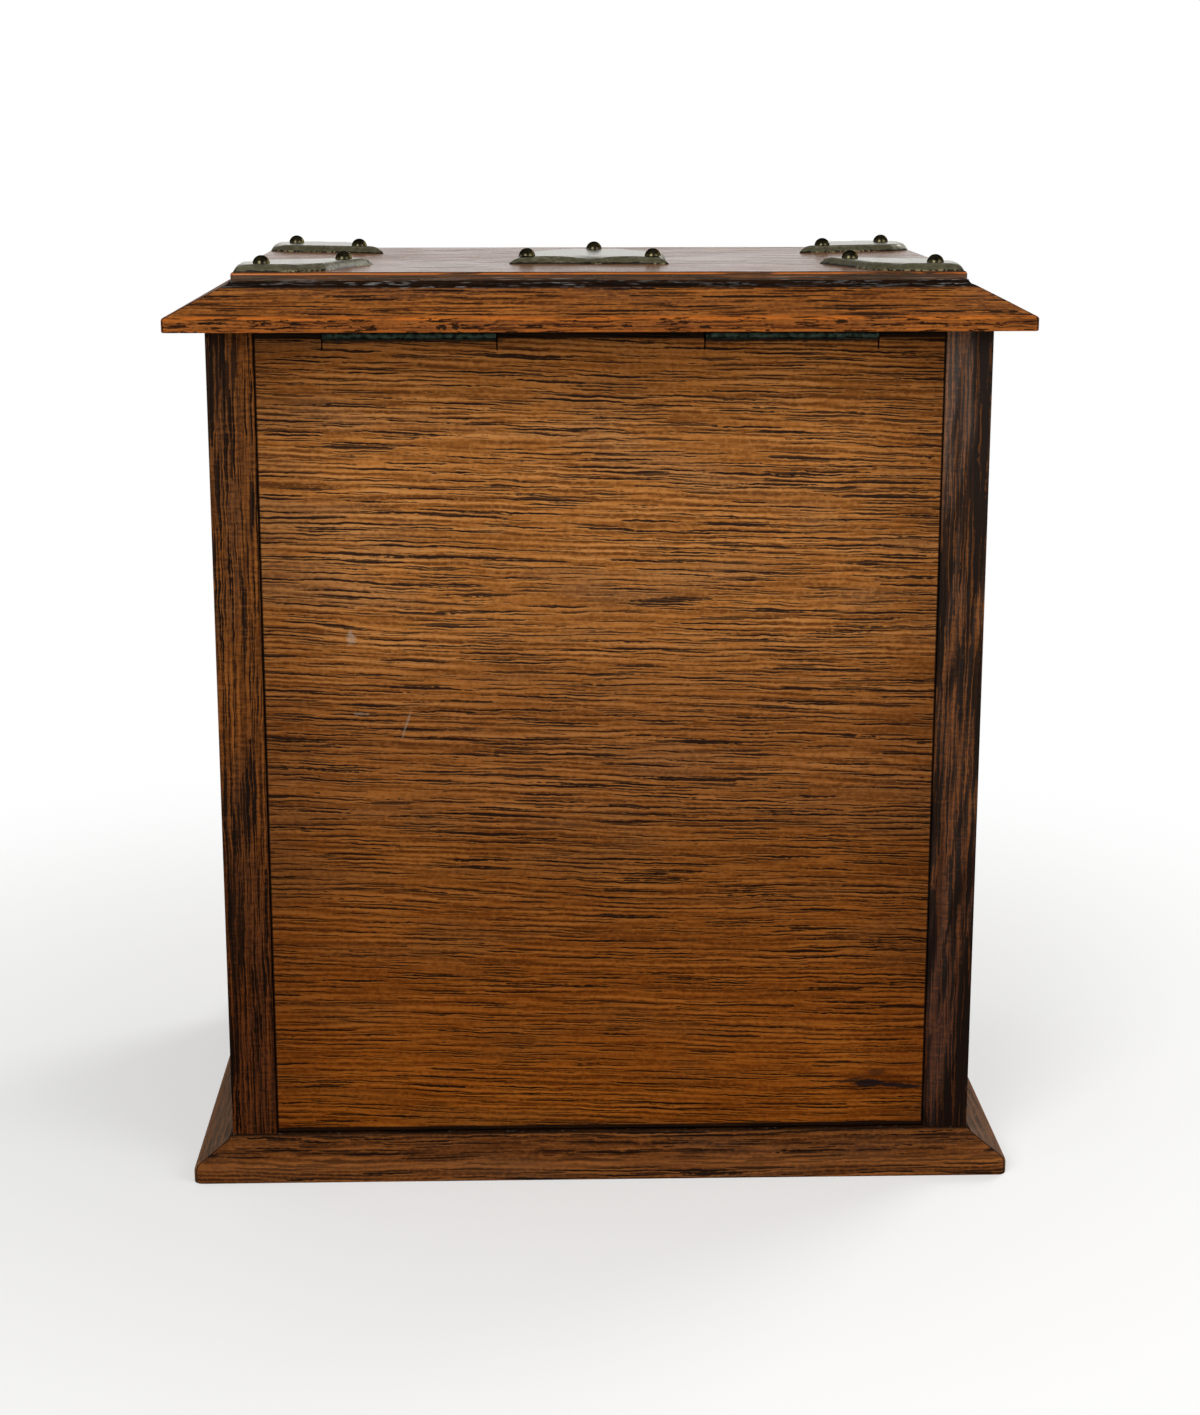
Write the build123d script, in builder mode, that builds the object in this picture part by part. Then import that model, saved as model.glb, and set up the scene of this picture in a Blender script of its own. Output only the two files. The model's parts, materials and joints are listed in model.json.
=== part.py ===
"""Oak stationery box with a lift-up lid, a fall front, a stepped letter rack and pressed brass mounts.

Frame: millimetres, +Z up, origin on the floor under the middle of the box. The front, with the fall
front and the lock, faces -Y. The back, with the lid hinges, faces +Y. Left and right are as seen from
the front, so left is -X.

The carcass is two side boards that stand on a mitred plinth, with a back panel tongued between them and
a bottom board inside. The lid is a thin top board on a mitred bevelled moulding. It turns on two butt
hinges let into the top edge of the back panel. The fall front turns on two more, let into its bottom
edge, and is held by a lock whose hook swings up into a strike plate under the lid.
"""

import os
from math import cos, radians, sqrt

from build123d import *

# ---- driving sizes --------------------------------------------------------------------------------
body_width = 290.0  # over the outside faces of the side boards
body_depth = 190.0  # front edge to back edge of the side boards
side_height = 313.7
side_thickness = 17.4
arris = 0.6  # softened edge of every board

# Plinth: a strip along each side, mitred at the corners
plinth_height = 15.0
plinth_overhang = 14.0
plinth_edge = 6.8  # height of the upright outer edge, below the bevel
plinth_nose = 4.0
plinth_seat = 30.0  # how far the strips reach in under the carcass
plinth_quirk = 1.5  # flat beside the carcass, above the bevel
plinth_quirk_drop = 1.6
mitre_gap = 0.12

# Lid: bevelled moulding with a top board planted on it
lid_gap = 0.3  # under the lid, all round
lid_overhang = 14.0
lid_edge = 5.0
lid_bevel_top = 15.3  # height at which the bevel ends, above the lid's underside
lid_moulding_height = 17.2
lid_bevel_inset = 6.2  # where the bevel ends, inside the carcass faces
lid_cove_ledge = 0.4  # flat between the cove and the edge of the top board
lid_cove_hollow = 0.5
lid_moulding_inset = 26.0  # inner edge of the moulding, inside the carcass faces
top_board_inset = 9.0  # edge of the top board, inside the carcass faces
top_board_edge = 3.0
top_board_field = 5.0  # thicker middle that drops between the moulding strips
top_board_play = 0.3
top_board_round = 1.0
lid_nose = 1.2

# Back panel
back_thickness = 11.0
panel_side_gap = 0.3
panel_bottom_gap = 1.0
panel_top_gap = 0.6
tongue_thickness = 4.0
tongue_depth = 4.0
tongue_play = 0.1
kerf_width = 0.6  # saw marks at the ends of the hinge recesses
kerf_depth = 4.0  # below the recess
kerf_run = 3.5

# Bottom board
bottom_thickness = 7.0
bottom_play = 0.4

# Fall front
flap_thickness = 12.0
flap_side_gap = 0.5
flap_bottom_gap = 0.8
flap_top_gap = 0.4
stop_width = 6.0
stop_depth = 6.0
stop_gap = 0.3
stop_round = 2.0

# Letter rack
cheek_thickness = 5.0
partition_thickness = 4.0
partition_let_in = 2.5
partition_play = 0.1
rack_front_gap = 3.0  # between the front rail and the fall front
rack_height_back = 232.0
rack_step = 56.0
rack_step_round = 8.0
rack_lead = 1.5  # cheeks reach this far in front of each partition
rack_play = 0.2
rack_partition_drop = 4.0  # partitions stop this far below the cheek beside them
scoop_width = 120.0
scoop_depth = 13.0
scoop_round = 4.0

# Butt hinges, alike at the lid and the fall front
hinge_length = 63.5
hinge_inset = 43.0  # outer end of each hinge, from the outside of the carcass
knuckle_radius = 1.7
knuckle_end = 15.5  # length of each outer knuckle
knuckle_gap = 0.2
hinge_standoff = 1.0  # axis outside the face of the carcass
leaf_thickness = 1.2
leaf_reach = 10.4  # from the axis to the leaf's inner edge
leaf_relief = 2.2  # clear of the other leaf's knuckles
leaf_clear = 0.1  # between the knuckles and the face the leaf is screwed to
hinge_pin_radius = 0.8
pin_running = 0.05
recess_play = 0.3

# Countersunk wood screws
screw_radius = 0.8
screw_head_radius = 1.9
screw_head_height = 1.0
screw_length = 8.0
screw_slot = 0.5
screw_play = 0.05
screw_margin = 8.0  # outer screws of a leaf, from its ends

# Screws that hold the plinth to the side boards
plinth_screw_radius = 1.8
plinth_screw_head = 3.6
plinth_screw_length = 30.0
plinth_screw_pitch = 70.0
plinth_screw_sink = 0.3

# Pressed brass mounts with domed studs
mount_height = 2.8
mount_wall = 0.8
mount_round = 1.3
corner_margin = 1.0  # from the edges of the top board
corner_arm = 27.0  # straight run along each edge
corner_shoulder = (35.0, 9.0)  # cut-off end of an arm, along one edge and in from it
corner_flank = (40.5, 26.0)  # middle of the hollow flank between shoulder and tip
corner_tip = 50.0  # point, this far in from both edges
corner_stud_near = 10.5
corner_stud_far = 39.0
shield_width = 62.0
shield_length = 70.0
shield_offset = 4.0  # towards the back of the lid, from its middle
shield_shift = 1.0  # towards the right
shield_turn = 3.3  # clockwise from above: it was nailed on a little askew
shield_ear = 3.0  # how far the hinge-side edge dips between ears and cusp
shield_side_reach = 26.0  # length of each side before it turns in to the tip
shield_belly = 0.62  # half width halfway to the tip, as a share of the widest
shield_stud_side = 24.5
shield_stud_back = 9.0
shield_stud_tip = 10.0
stud_radius = 3.2
stud_height = 2.9
stud_shank = 0.8
stud_bite = 2.6  # how far a shank goes into the wood
stud_play = 0.05

# Lock in the fall front
lock_width = 44.0
lock_height = 30.0
lock_depth = 8.4
lock_wall = 1.2
selvedge_width = 56.0
selvedge_thickness = 1.5
lock_play = 0.1
bolt_thickness = 3.6
bolt_pivot_x = 10.0
bolt_pivot_drop = 12.0  # below the top edge of the fall front
bolt_pivot_radius = 1.5
bolt_hub = 4.0
bolt_reach = 17.4
bolt_nose = 1.9  # radial thickness of the hook
bolt_nose_angle = 34.0
bolt_arm = 8.0  # angle that the arm covers
bolt_tail_reach = 9.0
bolt_tail_angle = 250.0
bolt_tail_width = 3.0
bolt_swing = 75.0
bolt_clear = 0.7
hub_side_play = 0.1
lock_pin_play = 0.05  # around the pins that are fixed in the lock
key_pin_radius = 1.0
key_pin_drop = 22.0
keyhole_radius = 2.3
keyhole_slot = 2.2
keyhole_length = 6.0
lock_screw_x = 24.5

# Strike plate under the front of the lid
strike_length = 46.0
strike_width = 9.0
strike_thickness = 1.2
strike_middle = 8.0  # of the plate, from the middle of the box
strike_screw_x = 18.5  # from its middle
mortise_clear = 2.0  # around the raised hook

# Escutcheon plate on the fall front
escutcheon_scale = 0.8
escutcheon_drop = 3.0  # below the top edge of the fall front

# ---- places worked out from them ------------------------------------------------------------------
half_width = body_width / 2
half_depth = body_depth / 2
inner_half = half_width - side_thickness
carcass_top = plinth_height + side_height
lid_underside = carcass_top + lid_gap
lid_top = lid_underside + lid_moulding_height + top_board_edge
back_inner = half_depth - back_thickness
flap_inner = -half_depth + flap_thickness
flap_top = carcass_top - flap_top_gap
flap_bottom = plinth_height + flap_bottom_gap
bottom_top = plinth_height + bottom_thickness
axis_drop = knuckle_radius + leaf_clear
lid_axis = (half_depth + hinge_standoff, lid_underside - axis_drop)
flap_axis = (-half_depth - hinge_standoff, plinth_height + axis_drop)
hinge_inner = half_width - hinge_inset - hinge_length  # nearer end, from the middle of the box
hinge_middle = hinge_inner + hinge_length / 2
knuckle_middle = hinge_length - 2 * knuckle_end
edge_x = half_width - top_board_inset
edge_y = half_depth - top_board_inset
strip_reach = max(half_width, half_depth) + max(plinth_overhang, lid_overhang)
strip_sides = {"back": (0, 1), "front": (0, -1), "left": (-1, 0), "right": (1, 0)}
hands = {"left": -1, "right": 1}

# Rack: the partitions from back to front, with the cheek's height beside each
partition_names = ["rack_divider_back", "rack_divider_middle", "rack_divider_front", "rack_front_rail"]
rack_pitch = (back_inner - flap_inner - rack_front_gap) / len(partition_names)
rack_fronts = [back_inner - (step + 1) * rack_pitch for step in range(len(partition_names))]
rack_tops = [bottom_top + rack_height_back - step * rack_step for step in range(len(partition_names))]
cheek_outer = inner_half - rack_play
cheek_inner = cheek_outer - cheek_thickness

# Lock: from the front of the fall front inwards, and upwards
lock_front = flap_inner - lock_depth
lock_middle = flap_inner - lock_depth / 2
lock_bottom = flap_top - lock_height
cover_front = flap_inner - lock_wall
selvedge_base = flap_top - selvedge_thickness
bolt_front = lock_middle - bolt_thickness / 2
bolt_back = lock_middle + bolt_thickness / 2
bolt_pivot_z = flap_top - bolt_pivot_drop
key_pin_z = flap_top - key_pin_drop


def hook_rise(height):
    """Where the tip of the hook passes that height as it rises, with its clearance."""
    above = height - bolt_pivot_z
    return bolt_pivot_x - sqrt(bolt_reach**2 - above**2) - bolt_clear


selvedge_slot_start = hook_rise(selvedge_base)
hook_slot_end = bolt_pivot_x + bolt_clear
hook_tip_angle = radians(180 - bolt_nose_angle - bolt_swing)
strike_low = (strike_middle - strike_length / 2, lock_middle - strike_width / 2, lid_underside)
strike_high = (
    strike_middle + strike_length / 2,
    lock_middle + strike_width / 2,
    lid_underside + strike_thickness,
)
strike_slot_low = (hook_rise(lid_underside), bolt_front - bolt_clear, lid_underside)
strike_slot_high = (hook_slot_end, bolt_back + bolt_clear, strike_high[2])
mortise_high = (
    bolt_pivot_x + bolt_reach * cos(hook_tip_angle) + mortise_clear,
    bolt_back + bolt_clear,
    bolt_pivot_z + bolt_reach + mortise_clear,
)

os.makedirs("parts", exist_ok=True)


def save(part, name):
    """Label a finished piece and write it under its name."""
    part.label = name
    export_step(part, f"parts/{name}.step")


def side_plane(outward, height):
    """Plane across a moulding strip: x is outward from the carcass face, y is up."""
    reach = half_width if outward[0] else half_depth
    origin = (outward[0] * reach, outward[1] * reach, height)
    along = (outward[1], -outward[0], 0)
    return Plane(origin=origin, x_dir=(outward[0], outward[1], 0), z_dir=along)


def mitre_ends(outward):
    """Cut both ends of a strip at 45 degrees, in line with the corners of the carcass."""
    along = (outward[1], -outward[0])
    for end in (1, -1):
        corner = (
            (outward[0] + end * along[0]) * half_width,
            (outward[1] + end * along[1]) * half_depth,
        )
        normal = (end * along[0] - outward[0], end * along[1] - outward[1], 0)
        cut = Plane(origin=(*corner, 0), z_dir=normal).offset(-mitre_gap / 2)
        split(bisect_by=cut, keep=Keep.BOTTOM)


def block(low, high, mode=Mode.ADD):
    """Box between two opposite corners."""
    size = [abs(b - a) for a, b in zip(low, high)]
    middle = [(a + b) / 2 for a, b in zip(low, high)]
    with Locations(tuple(middle)):
        Box(*size, mode=mode)


def cross_pin(x, z, radius, start, end, mode=Mode.ADD):
    """Round pin or hole along Y, from one place to another."""
    with Locations(Location((x, (start + end) / 2, z), (90, 0, 0))):
        Cylinder(radius, abs(end - start), mode=mode)


def round_nose(profile, nose):
    """Round the outer edge of a moulding: its nose above, and a small arris below."""
    fillet(profile.vertices().group_by(Axis.X)[-1].sort_by(Axis.Y)[-1], nose)
    fillet(profile.vertices().group_by(Axis.X)[-1].sort_by(Axis.Y)[0], arris)


def screw_solid(radius, head_radius, head_height, length, slot):
    """Countersunk slotted screw, head face on the XY plane, shank along -Z."""
    with BuildPart() as screw:
        with BuildSketch(Plane.XZ):
            with BuildLine():
                Polyline(
                    (0, 0),
                    (head_radius, 0),
                    (radius, -head_height),
                    (radius, -length + radius),
                    (0, -length),
                    close=True,
                )
            make_face()
        revolve(axis=Axis.Z)
        Box(3 * head_radius, slot, 2 * slot, mode=Mode.SUBTRACT)
    return screw.part


def screw_hole(radius, head_radius, head_height, length):
    """Countersunk hole for that screw, also open above its head."""
    with BuildPart() as hole:
        with BuildSketch(Plane.XZ):
            with BuildLine():
                Polyline(
                    (0, head_height),
                    (head_radius + screw_play, head_height),
                    (head_radius + screw_play, 0),
                    (radius + screw_play, -head_height),
                    (radius + screw_play, -length - screw_play),
                    (0, -length - screw_play),
                    close=True,
                )
            make_face()
        revolve(axis=Axis.Z)
    return hole.part


def stud_solid():
    """Domed stud, its seat on the XY plane, shank along -Z."""
    with BuildPart() as stud:
        with BuildSketch(Plane.XZ):
            with BuildLine():
                Polyline(
                    (0, stud_height),
                    (0, -stud_length),
                    (stud_shank, -stud_length),
                    (stud_shank, 0),
                    (stud_radius, 0),
                )
                RadiusArc((stud_radius, 0), (0, stud_height), -dome_radius)
            make_face()
        revolve(axis=Axis.Z)
    return stud.part


def placed(solid, places):
    """Copies of a solid at several places, as one piece of separate solids."""
    with BuildPart() as group:
        with Locations(*places):
            add(solid)
    return group.part


def cut_out(solid, places):
    """Take copies of a solid out of the piece that is being built."""
    with Locations(*places):
        add(solid, mode=Mode.SUBTRACT)


# ---- screws, studs and where they go --------------------------------------------------------------
stud_length = mount_height + stud_bite
dome_radius = (stud_radius**2 + stud_height**2) / (2 * stud_height)
screw_sizes = (screw_radius, screw_head_radius, screw_head_height, screw_length)
small_screw = screw_solid(*screw_sizes, screw_slot)
small_screw_hole = screw_hole(*screw_sizes)
plinth_screw_sizes = (plinth_screw_radius, plinth_screw_head, plinth_screw_head / 2, plinth_screw_length)
plinth_screw = screw_solid(*plinth_screw_sizes, 2 * screw_slot)
plinth_screw_hole = screw_hole(*plinth_screw_sizes)
stud = stud_solid()
with BuildPart() as shank_hole:
    Cylinder(stud_shank + stud_play, stud_length + stud_play, align=(Align.CENTER, Align.CENTER, Align.MAX))
stud_hole = shank_hole.part

leaf_screw_reach = (leaf_relief + leaf_reach) / 2
lid_screw_y = lid_axis[0] - leaf_screw_reach
flap_screw_y = flap_axis[0] + leaf_screw_reach
lid_leaf_face = lid_axis[1] + axis_drop - leaf_thickness
case_leaf_face = lid_axis[1] - axis_drop + leaf_thickness
flap_leaf_face = flap_axis[1] + axis_drop - leaf_thickness
plinth_leaf_face = flap_axis[1] - axis_drop + leaf_thickness
head_up = Rotation(0, 0, 0)
head_down = Rotation(180, 0, 0)
lock_screw_places = [Location((side * lock_screw_x, lock_middle, flap_top)) for side in (-1, 1)]
strike_screw_places = [
    Location((strike_middle + side * strike_screw_x, lock_middle, lid_underside)) * head_down
    for side in (-1, 1)
]


def leaf_places(sides, y, face, turn=head_up):
    """Three screws along the leaf at each side, with their heads in the leaf's face."""
    return [
        Location((side * hinge_middle + step * (hinge_length / 2 - screw_margin), y, face)) * turn
        for side in sides
        for step in (-1, 0, 1)
    ]


board_middle = half_width - side_thickness / 2
plinth_screw_places = [
    Location((side * board_middle, step * plinth_screw_pitch, plinth_screw_sink)) * head_down
    for side in (-1, 1)
    for step in (-1, 0, 1)
]

corner_stud_places = [
    Location((sign_x * (edge_x - reach), sign_y * (edge_y - reach), lid_top + mount_height))
    for sign_x in (-1, 1)
    for sign_y in (-1, 1)
    for reach in (corner_stud_near, corner_stud_far)
]

shield_plane = Plane((shield_shift, shield_offset, lid_top)).rotated((0, 0, -shield_turn))
escutcheon_middle = flap_top - escutcheon_drop - escutcheon_scale * shield_length / 2
escutcheon_plane = Plane((0, -half_depth, escutcheon_middle), x_dir=(1, 0, 0), z_dir=(0, -1, 0))


def shield_stud_places(plane, scale=1.0):
    """Two studs by the ears of a shield and one by its point, seated on its face."""
    side = scale * shield_stud_side
    top = scale * (shield_length / 2 - shield_stud_back)
    tip = scale * (shield_stud_tip - shield_length / 2)
    face = plane.offset(mount_height)
    return [face.location * Location((x, y, 0)) for x, y in ((-side, top), (side, top), (0, tip))]


def corner_outline(sign_x, sign_y, inset=0.0):
    """Kite that follows both edges of the top board and points to the middle of the lid."""

    def at(along_x, along_y):
        return (sign_x * (edge_x - along_x), sign_y * (edge_y - along_y))

    with BuildSketch(Plane.XY.offset(lid_top)) as outline:
        with BuildLine():
            corner = at(corner_margin, corner_margin)
            arm_x = at(corner_arm, corner_margin)
            arm_y = at(corner_margin, corner_arm)
            shoulder_x = at(*corner_shoulder)
            shoulder_y = at(*reversed(corner_shoulder))
            tip = at(corner_tip, corner_tip)
            Line(corner, arm_x)
            Line(arm_x, shoulder_x)
            ThreePointArc(shoulder_x, at(*corner_flank), tip)
            ThreePointArc(tip, at(*reversed(corner_flank)), shoulder_y)
            Line(shoulder_y, arm_y)
            Line(arm_y, corner)
        make_face()
        if inset:
            offset(amount=-inset, kind=Kind.INTERSECTION)
    return outline.sketch


def shield_outline(plane, scale=1.0, inset=0.0):
    """Shield with a bracket-shaped top edge towards +y of the plane, and its point towards -y."""
    half = scale * shield_width / 2
    top = scale * shield_length / 2
    ear = scale * shield_ear
    side = top - scale * shield_side_reach
    belly = (shield_belly * half, (side - top) / 2)
    with BuildSketch(plane) as outline:
        with BuildLine():
            for sign in (-1, 1):
                ThreePointArc((0, top), (sign * half / 2, top - ear), (sign * half, top))
                ThreePointArc(
                    (sign * half, top),
                    (sign * (half - ear), (top + side) / 2),
                    (sign * (half - ear / 2), side),
                )
                ThreePointArc((sign * (half - ear / 2), side), (sign * belly[0], belly[1]), (0, -top))
        make_face()
        if inset:
            offset(amount=-inset, kind=Kind.INTERSECTION)
    return outline.sketch


def pressed_mount(plane, outer, inner, stud_places):
    """Hollow plate pressed from sheet, with a rounded rim and a hole for each stud."""
    with BuildPart() as mount:
        extrude(outer, amount=mount_height)
        fillet(mount.faces().sort_by(Axis(plane.origin, plane.z_dir))[-1].edges(), mount_round)
        extrude(inner, amount=mount_height - mount_wall, mode=Mode.SUBTRACT)
        cut_out(stud_hole, stud_places)
    return mount.part


def keyhole(start, end):
    """Cut the keyhole through whatever lies between two places along Y."""
    with BuildSketch(Plane((0, start, key_pin_z), x_dir=(1, 0, 0), z_dir=(0, -1, 0))) as hole:
        Circle(keyhole_radius)
        Rectangle(keyhole_slot, keyhole_length, align=(Align.CENTER, Align.MAX))
    extrude(hole.sketch, amount=start - end, mode=Mode.SUBTRACT)


def hinge_leaf(side, axis, up, spans):
    """Leaf of a butt hinge with its knuckles. Up is 1 for the leaf above the pin and -1 for the one below."""
    into = -1 if axis[0] > 0 else 1
    y, z = axis
    middle = side * hinge_middle
    outer_face = z + up * axis_drop
    inner_face = z + up * (axis_drop - leaf_thickness)
    with BuildPart() as leaf:
        block(
            (middle - hinge_length / 2, y + into * leaf_relief, inner_face),
            (middle + hinge_length / 2, y + into * leaf_reach, outer_face),
        )
        for start, end in spans:
            block((middle + start, y, inner_face), (middle + end, y + into * leaf_relief, outer_face))
            with BuildSketch(Plane.YZ.offset(middle + start)):
                with Locations(axis):
                    Circle(knuckle_radius)
            extrude(amount=end - start)
        with BuildSketch(Plane.YZ.offset(middle)):
            with Locations(axis):
                Circle(hinge_pin_radius + pin_running)
        extrude(amount=hinge_length / 2, both=True, mode=Mode.SUBTRACT)
        turn = head_down if up > 0 else head_up
        cut_out(small_screw_hole, leaf_places([side], y + into * leaf_screw_reach, inner_face, turn))
    return leaf.part


# ---- plinth ---------------------------------------------------------------------------------------
for name, outward in strip_sides.items():
    with BuildPart() as strip:
        with BuildSketch(side_plane(outward, 0)) as profile:
            with BuildLine():
                quirk = plinth_height - plinth_quirk_drop
                Polyline(
                    (0, plinth_height),
                    (-plinth_seat, plinth_height),
                    (-plinth_seat, 0),
                    (plinth_overhang, 0),
                    (plinth_overhang, plinth_edge),
                    (plinth_quirk, quirk),
                )
                EllipticalCenterArc((0, quirk), plinth_quirk, plinth_quirk_drop)
            make_face()
            round_nose(profile, plinth_nose)
        extrude(amount=strip_reach, both=True)
        mitre_ends(outward)
        cut_out(plinth_screw_hole, plinth_screw_places)
        cut_out(small_screw_hole, leaf_places((-1, 1), flap_screw_y, plinth_leaf_face))
    save(strip.part, f"plinth_{name}")

save(placed(plinth_screw, plinth_screw_places), "plinth_screws")

# ---- carcass --------------------------------------------------------------------------------------
tongue_low = back_inner + (back_thickness - tongue_thickness) / 2
tongue_high = tongue_low + tongue_thickness
tongue_end = inner_half - panel_side_gap + tongue_depth

for name, side in hands.items():
    with BuildPart() as board:
        block((side * inner_half, -half_depth, plinth_height), (side * half_width, half_depth, carcass_top))
        fillet(board.edges().filter_by(Axis.Z), arris)
        block(
            (side * inner_half, tongue_low - tongue_play, plinth_height),
            (side * (tongue_end + panel_side_gap), tongue_high + tongue_play, carcass_top),
            Mode.SUBTRACT,
        )
        cut_out(plinth_screw_hole, plinth_screw_places)
    save(board.part, f"{name}_side_board")

with BuildPart() as panel:
    panel_edge = inner_half - panel_side_gap
    panel_bottom = plinth_height + panel_bottom_gap
    panel_top = carcass_top - panel_top_gap
    block((-panel_edge, back_inner, panel_bottom), (panel_edge, half_depth, panel_top))
    fillet(panel.edges().filter_by(Axis.Z).group_by(Axis.Y)[-1], arris)
    block((-tongue_end, tongue_low, panel_bottom), (tongue_end, tongue_high, panel_top))
    recess_floor = lid_axis[1] - axis_drop
    for side in (-1, 1):
        ends = [
            side * (hinge_inner - recess_play),
            side * (hinge_inner + hinge_length + recess_play),
        ]
        block(
            (ends[0], lid_axis[0] - leaf_reach - recess_play, recess_floor),
            (ends[1], half_depth, carcass_top),
            Mode.SUBTRACT,
        )
        for end in ends:
            block(
                (end - kerf_width / 2, half_depth - kerf_run, recess_floor - kerf_depth),
                (end + kerf_width / 2, half_depth, carcass_top),
                Mode.SUBTRACT,
            )
    cut_out(small_screw_hole, leaf_places((-1, 1), lid_screw_y, case_leaf_face))
save(panel.part, "back_panel")

with BuildPart() as board:
    block(
        (bottom_play - inner_half, flap_inner + bottom_play, plinth_height),
        (inner_half - bottom_play, back_inner - bottom_play, bottom_top),
    )
save(board.part, "bottom_board")

for name, side in hands.items():
    with BuildPart() as bead:
        block(
            (side * (inner_half - stop_width), flap_inner + stop_gap, rack_tops[-1] + stop_gap),
            (side * inner_half, flap_inner + stop_gap + stop_depth, carcass_top - stop_gap),
        )
        inner_edges = bead.edges().filter_by(Axis.Z).group_by(Axis.Y)[-1]
        fillet(inner_edges.sort_by(Axis.X)[0 if side > 0 else -1], stop_round)
    save(bead.part, f"stop_bead_{name}")

# ---- letter rack ----------------------------------------------------------------------------------
for name, side in hands.items():
    with BuildPart() as cheek:
        back = back_inner - rack_play
        corners = [(back, bottom_top), (back, rack_tops[0])]
        for front, top, next_top in zip(rack_fronts, rack_tops, rack_tops[1:] + [bottom_top]):
            corners += [(front - rack_lead, top), (front - rack_lead, next_top)]
        with BuildSketch(Plane.YZ.offset(min(side * cheek_outer, side * cheek_inner))):
            with BuildLine():
                FilletPolyline(*corners, radius=rack_step_round)
                Line(corners[-1], corners[0])
            make_face()
        extrude(amount=cheek_thickness)
        for front, top in zip(rack_fronts, rack_tops):
            rear = front + partition_thickness
            block(
                (side * cheek_inner, front - partition_play, bottom_top),
                (side * (cheek_inner + partition_let_in), rear + partition_play, top),
                Mode.SUBTRACT,
            )
    save(cheek.part, f"rack_cheek_{name}")

for name, front, top in zip(partition_names, rack_fronts, rack_tops):
    with BuildPart() as partition:
        width = 2 * (cheek_inner + partition_let_in - partition_play)
        height = top - bottom_top - rack_partition_drop
        face = Plane((0, front, bottom_top), x_dir=(1, 0, 0), z_dir=(0, -1, 0))
        with BuildSketch(face) as outline:
            Rectangle(width, height, align=(Align.CENTER, Align.MIN))
            with Locations((0, height)):
                Ellipse(scoop_width / 2, scoop_depth, mode=Mode.SUBTRACT)
            fillet(outline.vertices().group_by(Axis.Y)[-1].sort_by(Axis.X)[1:-1], scoop_round)
        extrude(amount=-partition_thickness)
    save(partition.part, name)

# ---- lid ------------------------------------------------------------------------------------------
with BuildPart() as plate:
    block(strike_low, strike_high)
    block(strike_slot_low, strike_slot_high, Mode.SUBTRACT)
    cut_out(small_screw_hole, strike_screw_places)
save(plate.part, "strike_plate")
save(placed(small_screw, strike_screw_places), "strike_screws")

for name, outward in strip_sides.items():
    with BuildPart() as strip:
        with BuildSketch(side_plane(outward, lid_underside)) as profile:
            with BuildLine():
                cove_foot = (-lid_bevel_inset, lid_bevel_top)
                cove_head = (lid_cove_ledge - top_board_inset, lid_moulding_height)
                Polyline(
                    cove_head,
                    (-lid_moulding_inset, lid_moulding_height),
                    (-lid_moulding_inset, 0),
                    (lid_overhang, 0),
                    (lid_overhang, lid_edge),
                    cove_foot,
                )
                SagittaArc(cove_foot, cove_head, lid_cove_hollow)
            make_face()
            round_nose(profile, lid_nose)
        extrude(amount=strip_reach, both=True)
        mitre_ends(outward)
        cut_out(stud_hole, corner_stud_places)
        cut_out(small_screw_hole, leaf_places((-1, 1), lid_screw_y, lid_leaf_face, head_down))
        if name == "front":
            block(
                [value - lock_play for value in strike_low[:2]] + [lid_underside],
                [value + lock_play for value in strike_high],
                Mode.SUBTRACT,
            )
            block(strike_slot_low, mortise_high, Mode.SUBTRACT)
            cut_out(small_screw_hole, strike_screw_places)
    save(strip.part, f"lid_moulding_{name}")

with BuildPart() as board:
    field_x = half_width - lid_moulding_inset - top_board_play
    field_y = half_depth - lid_moulding_inset - top_board_play
    edge_low = lid_top - top_board_edge
    block((-edge_x, -edge_y, edge_low), (edge_x, edge_y, lid_top))
    fillet(board.edges().filter_by(Axis.Z), top_board_round)
    fillet(board.faces().sort_by(Axis.Z)[-1].edges(), top_board_round)
    block((-field_x, -field_y, edge_low - top_board_field), (field_x, field_y, edge_low))
    cut_out(stud_hole, corner_stud_places)
    cut_out(stud_hole, shield_stud_places(shield_plane))
save(board.part, "lid_top_board")

# ---- pressed mounts on the lid --------------------------------------------------------------------
for end, sign_y in (("front", -1), ("back", 1)):
    for name, sign_x in hands.items():
        outer = corner_outline(sign_x, sign_y)
        inner = corner_outline(sign_x, sign_y, mount_wall)
        mount = pressed_mount(Plane.XY.offset(lid_top), outer, inner, corner_stud_places)
        save(mount, f"corner_mount_{end}_{name}")
save(placed(stud, corner_stud_places), "corner_studs")

shield = pressed_mount(
    shield_plane,
    shield_outline(shield_plane),
    shield_outline(shield_plane, inset=mount_wall),
    shield_stud_places(shield_plane),
)
save(shield, "shield_mount")
save(placed(stud, shield_stud_places(shield_plane)), "shield_studs")

# ---- fall front, with its lock and escutcheon -----------------------------------------------------
escutcheon_stud_places = shield_stud_places(escutcheon_plane, escutcheon_scale)
pivot_hole = bolt_pivot_radius + lock_pin_play

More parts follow.
